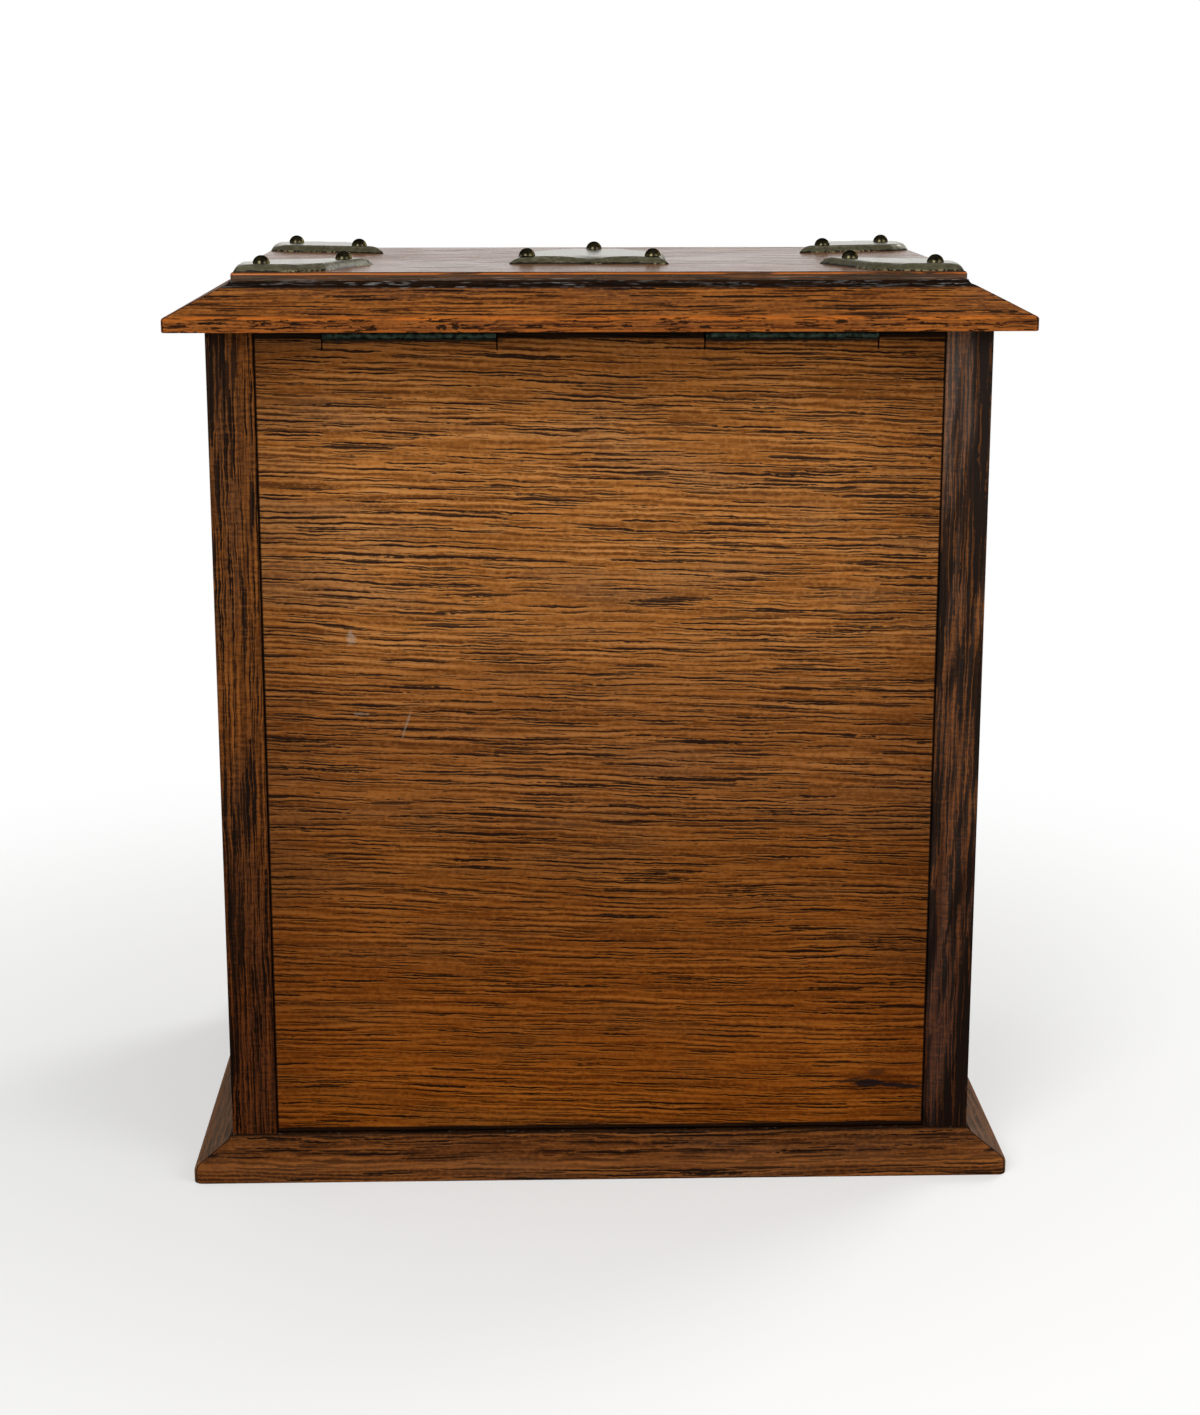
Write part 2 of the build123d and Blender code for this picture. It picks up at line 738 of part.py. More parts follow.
with BuildPart() as flap:
    flap_edge = inner_half - flap_side_gap
    block((-flap_edge, -half_depth, flap_bottom), (flap_edge, flap_inner, flap_top))
    fillet(flap.faces().sort_by(Axis.Y)[0].edges(), arris)
    for side in (-1, 1):
        block(
            (side * (hinge_inner - recess_play), -half_depth, flap_bottom),
            (
                side * (hinge_inner + hinge_length + recess_play),
                flap_axis[0] + leaf_reach + recess_play,
                flap_axis[1] + axis_drop,
            ),
            Mode.SUBTRACT,
        )
    block(
        (-lock_width / 2 - lock_play, lock_front - lock_play, lock_bottom - lock_play),
        (lock_width / 2 + lock_play, flap_inner, flap_top),
        Mode.SUBTRACT,
    )
    block(
        (-selvedge_width / 2 - lock_play, lock_front - lock_play, selvedge_base),
        (selvedge_width / 2 + lock_play, flap_inner, flap_top),
        Mode.SUBTRACT,
    )
    keyhole(flap_inner, -half_depth)
    cut_out(small_screw_hole, leaf_places((-1, 1), flap_screw_y, flap_leaf_face, head_down))
    cut_out(small_screw_hole, lock_screw_places)
    cut_out(stud_hole, escutcheon_stud_places)
save(flap.part, "fall_front")

with BuildPart() as case:
    block((-lock_width / 2, lock_front, lock_bottom), (lock_width / 2, cover_front, selvedge_base))
    block(
        (lock_wall - lock_width / 2, lock_front + lock_wall, lock_bottom + lock_wall),
        (lock_width / 2 - lock_wall, cover_front, selvedge_base),
        Mode.SUBTRACT,
    )
    block((-selvedge_width / 2, lock_front, selvedge_base), (selvedge_width / 2, flap_inner, flap_top))
    block(
        (selvedge_slot_start, bolt_front - bolt_clear, selvedge_base),
        (hook_slot_end, bolt_back + bolt_clear, flap_top),
        Mode.SUBTRACT,
    )
    keyhole(lock_front + lock_wall, lock_front)
    cross_pin(bolt_pivot_x, bolt_pivot_z, pivot_hole, cover_front, lock_front, Mode.SUBTRACT)
    cut_out(small_screw_hole, lock_screw_places)
save(case.part, "lock_case")
save(placed(small_screw, lock_screw_places), "lock_screws")

with BuildPart() as cover:
    block((-lock_width / 2, cover_front, lock_bottom), (lock_width / 2, flap_inner, selvedge_base))
    cross_pin(bolt_pivot_x, bolt_pivot_z, pivot_hole, cover_front, flap_inner, Mode.SUBTRACT)
    cross_pin(0, key_pin_z, key_pin_radius + lock_pin_play, cover_front, flap_inner, Mode.SUBTRACT)
save(cover.part, "lock_cover")

with BuildPart() as pivot:
    cross_pin(bolt_pivot_x, bolt_pivot_z, bolt_pivot_radius, lock_front, flap_inner)
save(pivot.part, "bolt_pivot")

with BuildPart() as pin:
    cross_pin(0, key_pin_z, key_pin_radius, lock_front, flap_inner)
save(pin.part, "key_pin")

with BuildPart() as bolt:
    with BuildSketch(Plane((bolt_pivot_x, bolt_back, bolt_pivot_z), x_dir=(1, 0, 0), z_dir=(0, -1, 0))):
        Circle(bolt_hub)
        for inner, sweep_angle in ((bolt_reach - bolt_nose, bolt_nose_angle), (bolt_hub / 2, bolt_arm)):
            with BuildLine():
                tip = CenterArc((0, 0), bolt_reach, 180 - sweep_angle, sweep_angle)
                root = CenterArc((0, 0), inner, 180 - sweep_angle, sweep_angle)
                Line(tip @ 0, root @ 0)
                Line(tip @ 1, root @ 1)
            make_face()
        with Locations(Location((0, 0, 0), (0, 0, bolt_tail_angle))):
            Rectangle(bolt_tail_reach, bolt_tail_width, align=(Align.MIN, Align.CENTER))
    extrude(amount=bolt_thickness)
    hub_front = lock_front + lock_wall + hub_side_play
    cross_pin(bolt_pivot_x, bolt_pivot_z, bolt_hub, hub_front, cover_front - hub_side_play)
    bore = bolt_pivot_radius + pin_running
    cross_pin(bolt_pivot_x, bolt_pivot_z, bore, lock_front, flap_inner, Mode.SUBTRACT)
save(bolt.part, "hook_bolt")

with BuildPart() as escutcheon:
    add(
        pressed_mount(
            escutcheon_plane,
            shield_outline(escutcheon_plane, escutcheon_scale),
            shield_outline(escutcheon_plane, escutcheon_scale, mount_wall),
            escutcheon_stud_places,
        )
    )
    keyhole(-half_depth, -half_depth - mount_height)
save(escutcheon.part, "escutcheon_plate")
save(placed(stud, escutcheon_stud_places), "escutcheon_studs")

# ---- butt hinges ----------------------------------------------------------------------------------
middle_knuckle = [(knuckle_gap - knuckle_middle / 2, knuckle_middle / 2 - knuckle_gap)]
outer_knuckles = [
    (-hinge_length / 2, knuckle_end - hinge_length / 2),
    (hinge_length / 2 - knuckle_end, hinge_length / 2),
]

for place, axis in (("lid", lid_axis), ("fall", flap_axis)):
    for name, side in hands.items():
        save(hinge_leaf(side, axis, -1, outer_knuckles), f"{place}_hinge_case_leaf_{name}")
        save(hinge_leaf(side, axis, 1, middle_knuckle), f"{place}_hinge_moving_leaf_{name}")
        with BuildPart() as pin:
            with BuildSketch(Plane.YZ.offset(side * hinge_middle)):
                with Locations(axis):
                    Circle(hinge_pin_radius)
            extrude(amount=hinge_length / 2, both=True)
        save(pin.part, f"{place}_hinge_pin_{name}")

leaf_screws = {
    "lid_hinge_case_screws": leaf_places((-1, 1), lid_screw_y, case_leaf_face),
    "lid_hinge_moving_screws": leaf_places((-1, 1), lid_screw_y, lid_leaf_face, head_down),
    "fall_hinge_case_screws": leaf_places((-1, 1), flap_screw_y, plinth_leaf_face),
    "fall_hinge_moving_screws": leaf_places((-1, 1), flap_screw_y, flap_leaf_face, head_down),
}
for name, places in leaf_screws.items():
    save(placed(small_screw, places), name)
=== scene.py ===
"""The looks of the stationery box: worn oak boards, dark brass mounts, floor, light and camera."""

import json
import math

import bmesh
import bpy
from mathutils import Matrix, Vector, geometry, kdtree, noise

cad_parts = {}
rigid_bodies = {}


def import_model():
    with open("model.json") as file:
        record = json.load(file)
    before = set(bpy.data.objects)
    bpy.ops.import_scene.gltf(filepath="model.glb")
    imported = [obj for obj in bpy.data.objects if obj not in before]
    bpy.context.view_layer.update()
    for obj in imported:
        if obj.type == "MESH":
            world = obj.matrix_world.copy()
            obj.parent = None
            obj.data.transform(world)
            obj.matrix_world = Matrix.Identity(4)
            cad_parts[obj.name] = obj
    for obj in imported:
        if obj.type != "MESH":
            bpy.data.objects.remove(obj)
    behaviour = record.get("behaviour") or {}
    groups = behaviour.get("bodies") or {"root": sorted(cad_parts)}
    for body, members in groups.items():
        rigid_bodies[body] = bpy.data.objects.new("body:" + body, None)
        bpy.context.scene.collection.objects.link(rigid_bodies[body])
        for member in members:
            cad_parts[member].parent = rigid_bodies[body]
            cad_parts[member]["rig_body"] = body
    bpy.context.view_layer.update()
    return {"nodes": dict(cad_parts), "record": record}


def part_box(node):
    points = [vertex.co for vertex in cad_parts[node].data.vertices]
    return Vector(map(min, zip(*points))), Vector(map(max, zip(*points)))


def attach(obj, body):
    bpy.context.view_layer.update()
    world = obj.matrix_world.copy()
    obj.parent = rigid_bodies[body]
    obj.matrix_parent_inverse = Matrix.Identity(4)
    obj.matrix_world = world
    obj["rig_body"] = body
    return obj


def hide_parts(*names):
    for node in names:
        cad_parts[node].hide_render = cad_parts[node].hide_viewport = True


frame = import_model()
nodes = frame["nodes"]
node_slots = {part["node"]: part["material_slot"] for part in frame["record"]["subparts"]}

MM = 0.001
X_AXIS, Y_AXIS, Z_AXIS = 0, 1, 2

# Heights at which one wooden part gives way to another.
PLINTH_EDGE = 6.8 * MM
PLINTH_TOP = 15 * MM
LID_FOOT = 329 * MM
LID_EDGE = 334 * MM
TOP_BOARD_FOOT = 346.2 * MM
TOP_BOARD_FACE = 349.2 * MM

# ---------------------------------------------------------------- materials

SEED_STRIDES = (3.7, 5.3, 7.9)


class Field:
    """A value that varies over a surface, so that a material reads as a formula."""

    def __init__(self, shader, socket):
        self.shader = shader
        self.socket = socket

    def __add__(self, other):
        return self.shader.math("ADD", self, other)

    def __sub__(self, other):
        return self.shader.math("SUBTRACT", self, other)

    def __mul__(self, other):
        return self.shader.math("MULTIPLY", self, other)

    def __rsub__(self, other):
        return self.shader.math("SUBTRACT", other, self)

    __radd__ = __add__
    __rmul__ = __mul__

    def step(self, low, high):
        """0 below low, 1 above high and a smooth rise between them; low may be the larger."""
        return self.shader.step(self, low, high)


class Shader:
    """One material, built up from noises, masks and colours."""

    def __init__(self, name):
        self.material = bpy.data.materials.new(name)
        self.material.use_nodes = True
        self.tree = self.material.node_tree
        self.surface = self.tree.nodes["Principled BSDF"]
        coordinates = self.tree.nodes.new("ShaderNodeTexCoord").outputs["Object"]
        self.place = Field(self, coordinates)
        split = self.tree.nodes.new("ShaderNodeSeparateXYZ")
        self.tree.links.new(coordinates, split.inputs[0])
        self.axes = [Field(self, socket) for socket in split.outputs]

    def join(self, value, socket):
        if isinstance(value, Field):
            self.tree.links.new(value.socket, socket)
        else:
            socket.default_value = value

    def math(self, operation, *values):
        node = self.tree.nodes.new("ShaderNodeMath")
        node.operation = operation
        for value, socket in zip(values, node.inputs):
            self.join(value, socket)
        return Field(self, node.outputs[0])

    def step(self, value, low, high):
        node = self.tree.nodes.new("ShaderNodeMapRange")
        node.interpolation_type = "SMOOTHSTEP"
        turned = low > high
        self.join(value, node.inputs["Value"])
        node.inputs["From Min"].default_value = min(low, high)
        node.inputs["From Max"].default_value = max(low, high)
        node.inputs["To Min"].default_value = 1.0 if turned else 0.0
        node.inputs["To Max"].default_value = 0.0 if turned else 1.0
        return Field(self, node.outputs["Result"])

    def vector(self, *values):
        node = self.tree.nodes.new("ShaderNodeCombineXYZ")
        for value, socket in zip(values, node.inputs):
            self.join(value, socket)
        return Field(self, node.outputs[0])

    def texture(self, kind, where, per_metre, seed):
        """A texture node with that many features in a metre along each axis, moved off by its seed."""
        mapping = self.tree.nodes.new("ShaderNodeMapping")
        self.join(where, mapping.inputs["Vector"])
        mapping.inputs["Scale"].default_value = per_metre
        mapping.inputs["Location"].default_value = [seed * stride for stride in SEED_STRIDES]
        node = self.tree.nodes.new(kind)
        self.tree.links.new(mapping.outputs[0], node.inputs["Vector"])
        node.inputs["Scale"].default_value = 1.0
        return node

    def noise(self, where, per_metre, seed, detail=1.0, roughness=0.5):
        """Noise from 0 to 1 with that many features in a metre along each axis."""
        node = self.texture("ShaderNodeTexNoise", where, per_metre, seed)
        node.inputs["Detail"].default_value = detail
        node.inputs["Roughness"].default_value = roughness
        return Field(self, node.outputs["Fac"])

    def cells(self, where, per_metre, seed):
        """How far it is to the nearest of many scattered points, in steps of their spacing."""
        node = self.texture("ShaderNodeTexVoronoi", where, per_metre, seed)
        return Field(self, node.outputs["Distance"])

    def mix(self, share, first, second, how="MIX"):
        """Two colours mixed; share 0 gives the first."""
        node = self.tree.nodes.new("ShaderNodeMix")
        node.data_type = "RGBA"
        node.blend_type = how
        self.join(share, node.inputs["Factor"])
        colours = [socket for socket in node.inputs if socket.type == "RGBA"]
        self.join(first, colours[0])
        self.join(second, colours[1])
        return Field(self, [socket for socket in node.outputs if socket.type == "RGBA"][0])

    def ramp(self, value, stops):
        """A colour scale; stops are (position, colour)."""
        node = self.tree.nodes.new("ShaderNodeValToRGB")
        self.join(value, node.inputs[0])
        for spare in list(node.color_ramp.elements)[1:]:
            node.color_ramp.elements.remove(spare)
        for number, (position, colour) in enumerate(stops):
            if number:
                node.color_ramp.elements.new(position)
            node.color_ramp.elements[number].position = position
            node.color_ramp.elements[number].color = colour
        return Field(self, node.outputs["Color"])

    def size(self, axis):
        """How far a place is from the middle plane of the box along an axis."""
        return self.math("ABSOLUTE", self.axes[axis])

    def attribute(self, name):
        node = self.tree.nodes.new("ShaderNodeAttribute")
        node.attribute_name = name
        return Field(self, node.outputs["Fac"])

    def bump(self, height, depth, under=None):
        """Small relief: depth is how far height 1 stands above height 0, in metres."""
        node = self.tree.nodes.new("ShaderNodeBump")
        node.inputs["Distance"].default_value = depth
        self.join(height, node.inputs["Height"])
        if under:
            self.join(under, node.inputs["Normal"])
        return Field(self, node.outputs[0])

    def finish(self, colour, roughness, normal=None, metal=0.0, **constants):
        self.join(colour, self.surface.inputs["Base Color"])
        self.join(roughness, self.surface.inputs["Roughness"])
        self.join(metal, self.surface.inputs["Metallic"])
        if normal:
            self.join(normal, self.surface.inputs["Normal"])
        for name, value in constants.items():
            self.surface.inputs[name.replace("_", " ")].default_value = value
        return self.material


def srgb(red, green, blue):
    """A linear colour from the numbers of a picture, 0 to 255."""
    return (*[((v / 255 + 0.055) / 1.055) ** 2.4 if v > 10 else v / 255 / 12.92
              for v in (red, green, blue)], 1.0)


NEAR_BLACK = srgb(20, 13, 9)
LIP_STEP = 0.38 * MM
lid_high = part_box("lid_moulding_back")[1]
MITRE_OFFSET = lid_high.x - lid_high.y

GOLDEN = dict(shine=srgb(165, 112, 61), gold=srgb(148, 93, 42), amber=srgb(119, 71, 29),
              brown=srgb(86, 49, 21), pore=srgb(26, 16, 14), dull=srgb(110, 81, 56))
FRAME = dict(shine=srgb(118, 69, 28), gold=srgb(92, 51, 19), amber=srgb(66, 35, 13),
             brown=srgb(42, 22, 9), pore=srgb(14, 10, 9), dull=srgb(72, 52, 38))
REDDISH = dict(shine=srgb(164, 100, 42), gold=srgb(134, 78, 31), amber=srgb(106, 58, 22),
               brown=srgb(70, 36, 14), pore=srgb(20, 12, 10), dull=srgb(94, 64, 46))
TOP = dict(REDDISH, pore=srgb(54, 33, 25), brown=srgb(80, 43, 19))
PLINTH = dict(shine=srgb(124, 74, 34), gold=srgb(100, 57, 24), amber=srgb(79, 43, 18),
              brown=srgb(53, 28, 12), pore=srgb(18, 11, 8), dull=srgb(76, 54, 38))
INSIDE = dict(shine=srgb(196, 148, 94), gold=srgb(172, 124, 74), amber=srgb(146, 100, 56),
              brown=srgb(112, 74, 40), pore=srgb(60, 38, 22), dull=srgb(150, 118, 84))
WARM_GLOSS = (1.0, 0.78, 0.52, 1.0)


def oak(name, along, across, palette, seed, streak_pitch=3.0 * MM, streaks=0.5, pores=0.5,
        marks=None, roughness=0.45, index=1.1, fineness=1.0, slant=0.0, lean=0.0):
    """Open-pored oak with its grain along one axis; marks may change the colour and relief at the end.

    Streaks and pores say how many dark ones there are, and pores may be a function that makes a mask.
    Slant is how far the grain drifts sideways along its run, and lean how far its lines tilt into the
    board, so that they also show on the faces that lie across it.
    """
    shader = Shader(name)
    if callable(pores):
        pores = pores(shader)
    deep = 3 - along - across
    run, side, depth = (shader.axes[axis] for axis in (along, across, deep))
    side = side + depth * lean
    grain = shader.vector(run, side, depth)

    # The lines of the grain wander gently, with small jogs.
    sway = shader.noise(grain, (5, 10, 10), seed, detail=1.0) - 0.5
    jog = shader.noise(grain, (30, 60, 60), seed + 1, detail=2.0, roughness=0.6) - 0.5
    ripple = shader.noise(grain, (110, 260, 260), seed + 12, detail=1.0) - 0.5
    tremor = shader.noise(grain, (330, 500, 500), seed + 16, detail=1.0) - 0.5
    wandered = side + run * slant + sway * (8.0 * MM) + jog * (1.6 * MM)
    wandered = wandered + ripple * MM + tremor * (0.5 * MM)
    grain = shader.vector(run, wandered, depth)

    # Growth lines: nearly even, they fade, part and join.
    line = 1 / streak_pitch
    phase = shader.noise(grain, (7, 70, 40), seed + 17, detail=1.0) * 26.0
    strong = shader.noise(grain, (12, 60, 40), seed + 18, detail=1.0).step(0.3, 0.6)
    rings = shader.math("SINE", wandered * (2 * math.pi / (0.8 * streak_pitch)) + phase) * strong
    bands = shader.noise(grain, (8, line, line * 0.6), seed + 2, detail=2.0, roughness=0.6)
    figure = shader.noise(grain, (22, line * 2.2, line * 1.5), seed + 3, detail=2.0, roughness=0.6)
    fibre = shader.noise(grain, (24, 850 * fineness, 850 * fineness), seed + 4, detail=2.0)
    cloud = shader.noise(grain, (4, 12, 12), seed + 5, detail=2.0)
    lines = fibre.step(0.36, 0.64) - 0.5
    tone = bands * 0.1 + figure * 0.24 + rings * 0.14 + lines * 0.15 + (cloud - 0.5) * 0.14
    tone = tone + (0.33 + (0.5 - streaks) * 0.24)
    colour = shader.ramp(tone, [(0.34, palette["brown"]), (0.46, palette["amber"]), (0.57, palette["gold"]),
                                (0.70, palette["shine"])])
    dull = shader.noise(grain, (14, 60, 60), seed + 13, detail=2.0).step(0.5, 0.66)
    colour = shader.mix(dull * 0.3, colour, palette["dull"])
    hairs = shader.noise(grain, (12, 1200 * fineness, 900 * fineness), seed + 8, detail=1.0)
    hairs = hairs.step(0.60, 0.68) * 0.45
    colour = shader.mix(hairs, colour, palette["brown"])
    flecks = shader.noise(grain, (560, 800 * fineness, 800 * fineness), seed + 15, detail=2.0)
    colour = shader.mix(flecks.step(0.50, 0.66) * 0.26, colour, palette["shine"])
    colour = shader.mix(flecks.step(0.47, 0.33) * 0.36, colour, palette["brown"])

    # Dark dashes: the open pores, gathered in lines, each with a painted highlight on the lip beside it, as
    # if light fell on the raised grain.
    row = shader.noise(grain, (12, line * 1.6, line), seed + 7, detail=1.0) - 0.5
    beads = shader.noise(grain, (500, 700, 700), seed + 9, detail=2.0) - 0.5
    ragged = beads * 0.3 - row * 0.4 + rings * 0.07 + (0.5 - pores) * 0.3

    def pore_mask(where):
        thin, wide = (34, 1100 * fineness, 800 * fineness), (20, 800 * fineness, 560 * fineness)
        fine = (shader.cells(where, thin, seed + 6) + ragged).step(0.38, 0.30)
        bold = (shader.cells(where, wide, seed + 10) + ragged).step(0.33, 0.26)
        return shader.math("MAXIMUM", fine * 0.85, bold)

    open_pores = pore_mask(grain)
    # Painted highlight: the lip on one side of each pore is lightened as if light fell on the raised grain.
    painted_lip_highlights = pore_mask(shader.vector(run, wandered + LIP_STEP, depth))
    colour = shader.mix(painted_lip_highlights * 0.6, colour, palette["shine"])
    colour = shader.mix(open_pores * 0.96, colour, palette["pore"])
    relief = 1.0 - open_pores * 0.8 - hairs * 0.3 + fibre * 0.4 + figure * 0.4

    # Rounded edges are rubbed to a warmer, paler wood, and their nicks have filled with dirt.
    rubbed = shader.attribute("rubbed") * cloud.step(0.3, 0.62) * 0.75
    colour = shader.mix(rubbed, colour, palette["gold"])
    if marks:
        colour, relief = marks(shader, colour, relief)
    crumble = shader.noise(shader.place, (700, 700, 1100), seed + 14, detail=2.0) - 0.5
    dirt = (shader.attribute("dirt") + crumble * 1.3).step(0.42, 0.58)
    colour = shader.mix(dirt * 0.92, colour, NEAR_BLACK)
    normal = shader.bump(relief, 0.1 * MM)
    gloss = open_pores * 0.25 + (cloud - 0.5) * 0.16 + roughness
    return shader.finish(colour, gloss, normal, IOR=index, Specular_Tint=WARM_GLOSS)


def brass(name, light, dark, seed, roughness=0.3, spots=0.5, dent=0.05 * MM, marks=None, rim=1.0,
          gloss=0.5):
    """Old brass: a dark skin, worn brighter in places, over slightly uneven metal.

    Rim is the metal's glancing shine and gloss that of what isn't bare metal.
    """
    shader = Shader(name)
    patches = shader.noise(shader.place, (420, 420, 420), seed, detail=3.0, roughness=0.6)
    specks = shader.noise(shader.place, (2600, 2600, 2600), seed + 1, detail=2.0, roughness=0.65)
    waves = shader.noise(shader.place, (160, 160, 160), seed + 2, detail=1.0)
    colour = shader.mix(patches.step(0.35, 0.68), dark, light)
    colour = shader.mix(specks.step(0.56, 0.72) * spots, colour, NEAR_BLACK)
    rough = (specks - 0.5) * 0.35 + (patches - 0.5) * 0.2 + roughness
    metal = 1.0
    if marks:
        colour, rough, metal = marks(shader, colour, rough)
    normal = shader.bump(waves, dent * 4)
    normal = shader.bump(specks, 0.02 * MM, normal)
    return shader.finish(colour, rough, normal, metal, Specular_Tint=(rim, rim, rim, 1.0),
                         Specular_IOR_Level=gloss)


def dull_steel(name, seed):
    """The grey steel of the screws, with fine scratches."""
    shader = Shader(name)
    patches = shader.noise(shader.place, (600, 600, 600), seed, detail=3.0)
    scratches = shader.noise(shader.place, (4000, 300, 4000), seed + 1, detail=1.0)
    colour = shader.mix(patches.step(0.3, 0.7), srgb(120, 112, 104), srgb(176, 170, 160))
    rough = (patches - 0.5) * 0.3 + (scratches - 0.5) * 0.2 + 0.42
    return shader.finish(colour, rough, shader.bump(scratches, 0.01 * MM), 1.0)


def spot(shader, centre, reach, tilt=0.0, ragged=0.5, seed=1):
    """A mask that is 1 in a patch of the back panel, in millimetres across and up, and 0 round it."""
    across = shader.axes[X_AXIS] - centre[0] * MM
    up = shader.axes[Z_AXIS] - centre[1] * MM
    turn = math.radians(tilt)
    along = (across * math.cos(turn) + up * math.sin(turn)) * (1 / (reach[0] * MM))
    aside = (up * math.cos(turn) - across * math.sin(turn)) * (1 / (reach[1] * MM))
    far = shader.math("SQRT", along * along + aside * aside)
    edge = shader.noise(shader.place, (700, 700, 700), seed, detail=2.0) - 0.5
    return (far + edge * (2 * ragged)).step(1.0, 0.55)


def panel_marks(shader, colour, relief):
    """The back panel is darker and redder towards its foot, part colour and part painted shade, with painted
    shade at its sides, under the lid and by the hinges, a knot and some scuffs.
    """
    height = shader.axes[Z_AXIS]
    # Darker and redder towards the foot: partly the wood's own colour, partly painted shade.
    middle = height.step(235 * MM, 175 * MM)
    colour = shader.mix(middle * 0.8, colour, srgb(202, 190, 184), "MULTIPLY")
    belt = height.step(160 * MM, 125 * MM) * height.step(38 * MM, 80 * MM)
    colour = shader.mix(belt * 0.9, colour, srgb(240, 232, 208), "MULTIPLY")
    low = height.step(150 * MM, 30 * MM)
    colour = shader.mix(low * 0.85, colour, srgb(248, 216, 128), "MULTIPLY")
    outwards = shader.size(X_AXIS)
    # Painted shade: the panel darkens towards the side boards.
    side = outwards.step(88 * MM, 126 * MM)
    colour = shader.mix(side * 0.7, colour, srgb(208, 200, 192), "MULTIPLY")
    # Painted shade: the top of the panel darkens under the lid's overhang.
    painted_lid_shade = height.step(282 * MM, 322 * MM)
    colour = shader.mix(painted_lid_shade * 0.95, colour, srgb(196, 188, 178), "MULTIPLY")
    knot = spot(shader, (-105.3, 33.6), (8.0, 2.1), seed=2, ragged=0.3)
    bud = spot(shader, (-108.6, 38.1), (4.6, 1.6), seed=16, ragged=0.3)
    tail = spot(shader, (-117, 32.5), (14, 1.1), tilt=4, seed=3, ragged=0.3)
    whisker = spot(shader, (-98.5, 34.9), (6.5, 0.9), tilt=-12, seed=17, ragged=0.3)
    halo = spot(shader, (-108, 34), (19, 7), seed=4, ragged=0.3)
    colour = shader.mix(halo * 0.4, colour, srgb(150, 120, 96), "MULTIPLY")
    colour = shader.mix(shader.math("MAXIMUM", bud * 0.6, whisker * 0.75), colour, srgb(38, 22, 14))
    colour = shader.mix(shader.math("MAXIMUM", knot, tail) * 0.94, colour, srgb(14, 12, 14))
    scuff = spot(shader, (94.0, 213.6), (2.0, 3.0), seed=5, ragged=1.3)
    smear = spot(shader, (90.6, 184.5), (4.0, 0.8), seed=6, ragged=1.0)
    scratch = spot(shader, (73.8, 180.3), (6.2, 0.6), tilt=-72, seed=7, ragged=0.6)
    worn = shader.math("MAXIMUM", shader.math("MAXIMUM", scuff, smear * 0.5), scratch * 0.6)
    colour = shader.mix(worn * 0.34, colour, srgb(150, 142, 128))
    # Painted shade lines: near black under the lid and in the gap above the plinth; the lines beside the
    # side boards are dark joints.
    painted_shade_lines = shader.math("MAXIMUM", height.step(17.7 * MM, 17.1 * MM), height.step(325.2 * MM, 326.0 * MM))
    joints = outwards.step(126.5 * MM, 126.9 * MM)
    # Painted shadow: a ragged near-black band on the panel below the lid, across the width of each hinge.
    low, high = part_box("lid_hinge_case_leaf_left")
    inner, outer = sorted((abs(low.x), abs(high.x)))
    beside = (outwards.step(inner - 0.8 * MM, inner - 0.4 * MM)
              * outwards.step(outer + 0.8 * MM, outer + 0.4 * MM))
    crumbs = shader.noise(shader.place, (400, 400, 900), 61, detail=2.0) - 0.5
    under = beside * (height + crumbs * (1.6 * MM)).step(324.0 * MM, 324.6 * MM)
    colour = shader.mix(under * 0.85, colour, srgb(13, 14, 13))
    colour = shader.mix(shader.math("MAXIMUM", painted_shade_lines, joints) * 0.95, colour, srgb(9, 6, 5))
    return colour, relief - knot * 0.5


def panel_pores(shader):
    """The back panel has fewer open pores towards its foot."""
    return shader.axes[Z_AXIS].step(45 * MM, 150 * MM) * 0.16 + 0.3


def lid_marks(shader, colour, relief):
    """The cove under the top board is near black with pale wax in it, and the square edge is rubbed orange.

    The underside is plain.
    """
    height = shader.axes[Z_AXIS]
    plain = shader.mix(0.45, colour, REDDISH["amber"])
    outside = height.step(LID_FOOT + 0.02 * MM, LID_FOOT + 0.12 * MM)
    cove = height.step(343.2 * MM, 344.0 * MM)
    wax = shader.noise(shader.place, (60, 60, 2000), 8, detail=2.0).step(0.5, 0.58)
    crumbs = shader.noise(shader.place, (260, 260, 1600), 28, detail=2.0).step(0.44, 0.58)
    sheet = shader.noise(shader.place, (16, 16, 16), 38, detail=1.0).step(0.44, 0.6)
    arris = height.step(LID_EDGE - MM, LID_EDGE) * height.step(335.2 * MM, 334.3 * MM)
    worn = shader.noise(shader.place, (60, 60, 700), 48, detail=2.0).step(0.36, 0.58)
    ragged = shader.noise(shader.place, (500, 500, 1500), 58, detail=2.0) - 0.5
    bruises = shader.noise(shader.place, (80, 80, 900), 18, detail=3.0, roughness=0.65) + ragged * 0.3
    bruises = bruises.step(0.565, 0.60) * height.step(335.2 * MM, 333.8 * MM)
    foot = height.step(330.6 * MM, 329.7 * MM)
    shade = height.step(334.2 * MM, 332.8 * MM)
    colour = shader.mix(shade * 0.4, colour, srgb(92, 46, 20))
    colour = shader.mix(arris * worn * 0.75, colour, srgb(184, 100, 34))
    colour = shader.mix(foot * worn * 0.6, colour, srgb(158, 86, 32))
    colour = shader.mix(bruises * 0.9, colour, srgb(16, 10, 7))
    colour = shader.mix(cove * 0.96, colour, srgb(15, 11, 9))
    colour = shader.mix(cove * wax * crumbs * (0.25 + sheet * 0.6), colour, srgb(126, 124, 122))
    colour = shader.mix(outside, plain, colour)
    return mitre_line(shader, colour), relief - bruises * outside * 0.5


def mitre_line(shader, colour):
    """Dirt lies in the mitred corners of the mouldings, whose planes run where |x| - |y| is constant."""
    wobble = shader.noise(shader.place, (300, 300, 300), 19) - 0.5
    off = shader.size(X_AXIS) - shader.size(Y_AXIS) - MITRE_OFFSET + wobble * (0.6 * MM)
    off = shader.math("ABSOLUTE", off)
    return shader.mix(off.step(0.55 * MM, 0.2 * MM) * 0.9, colour, NEAR_BLACK)


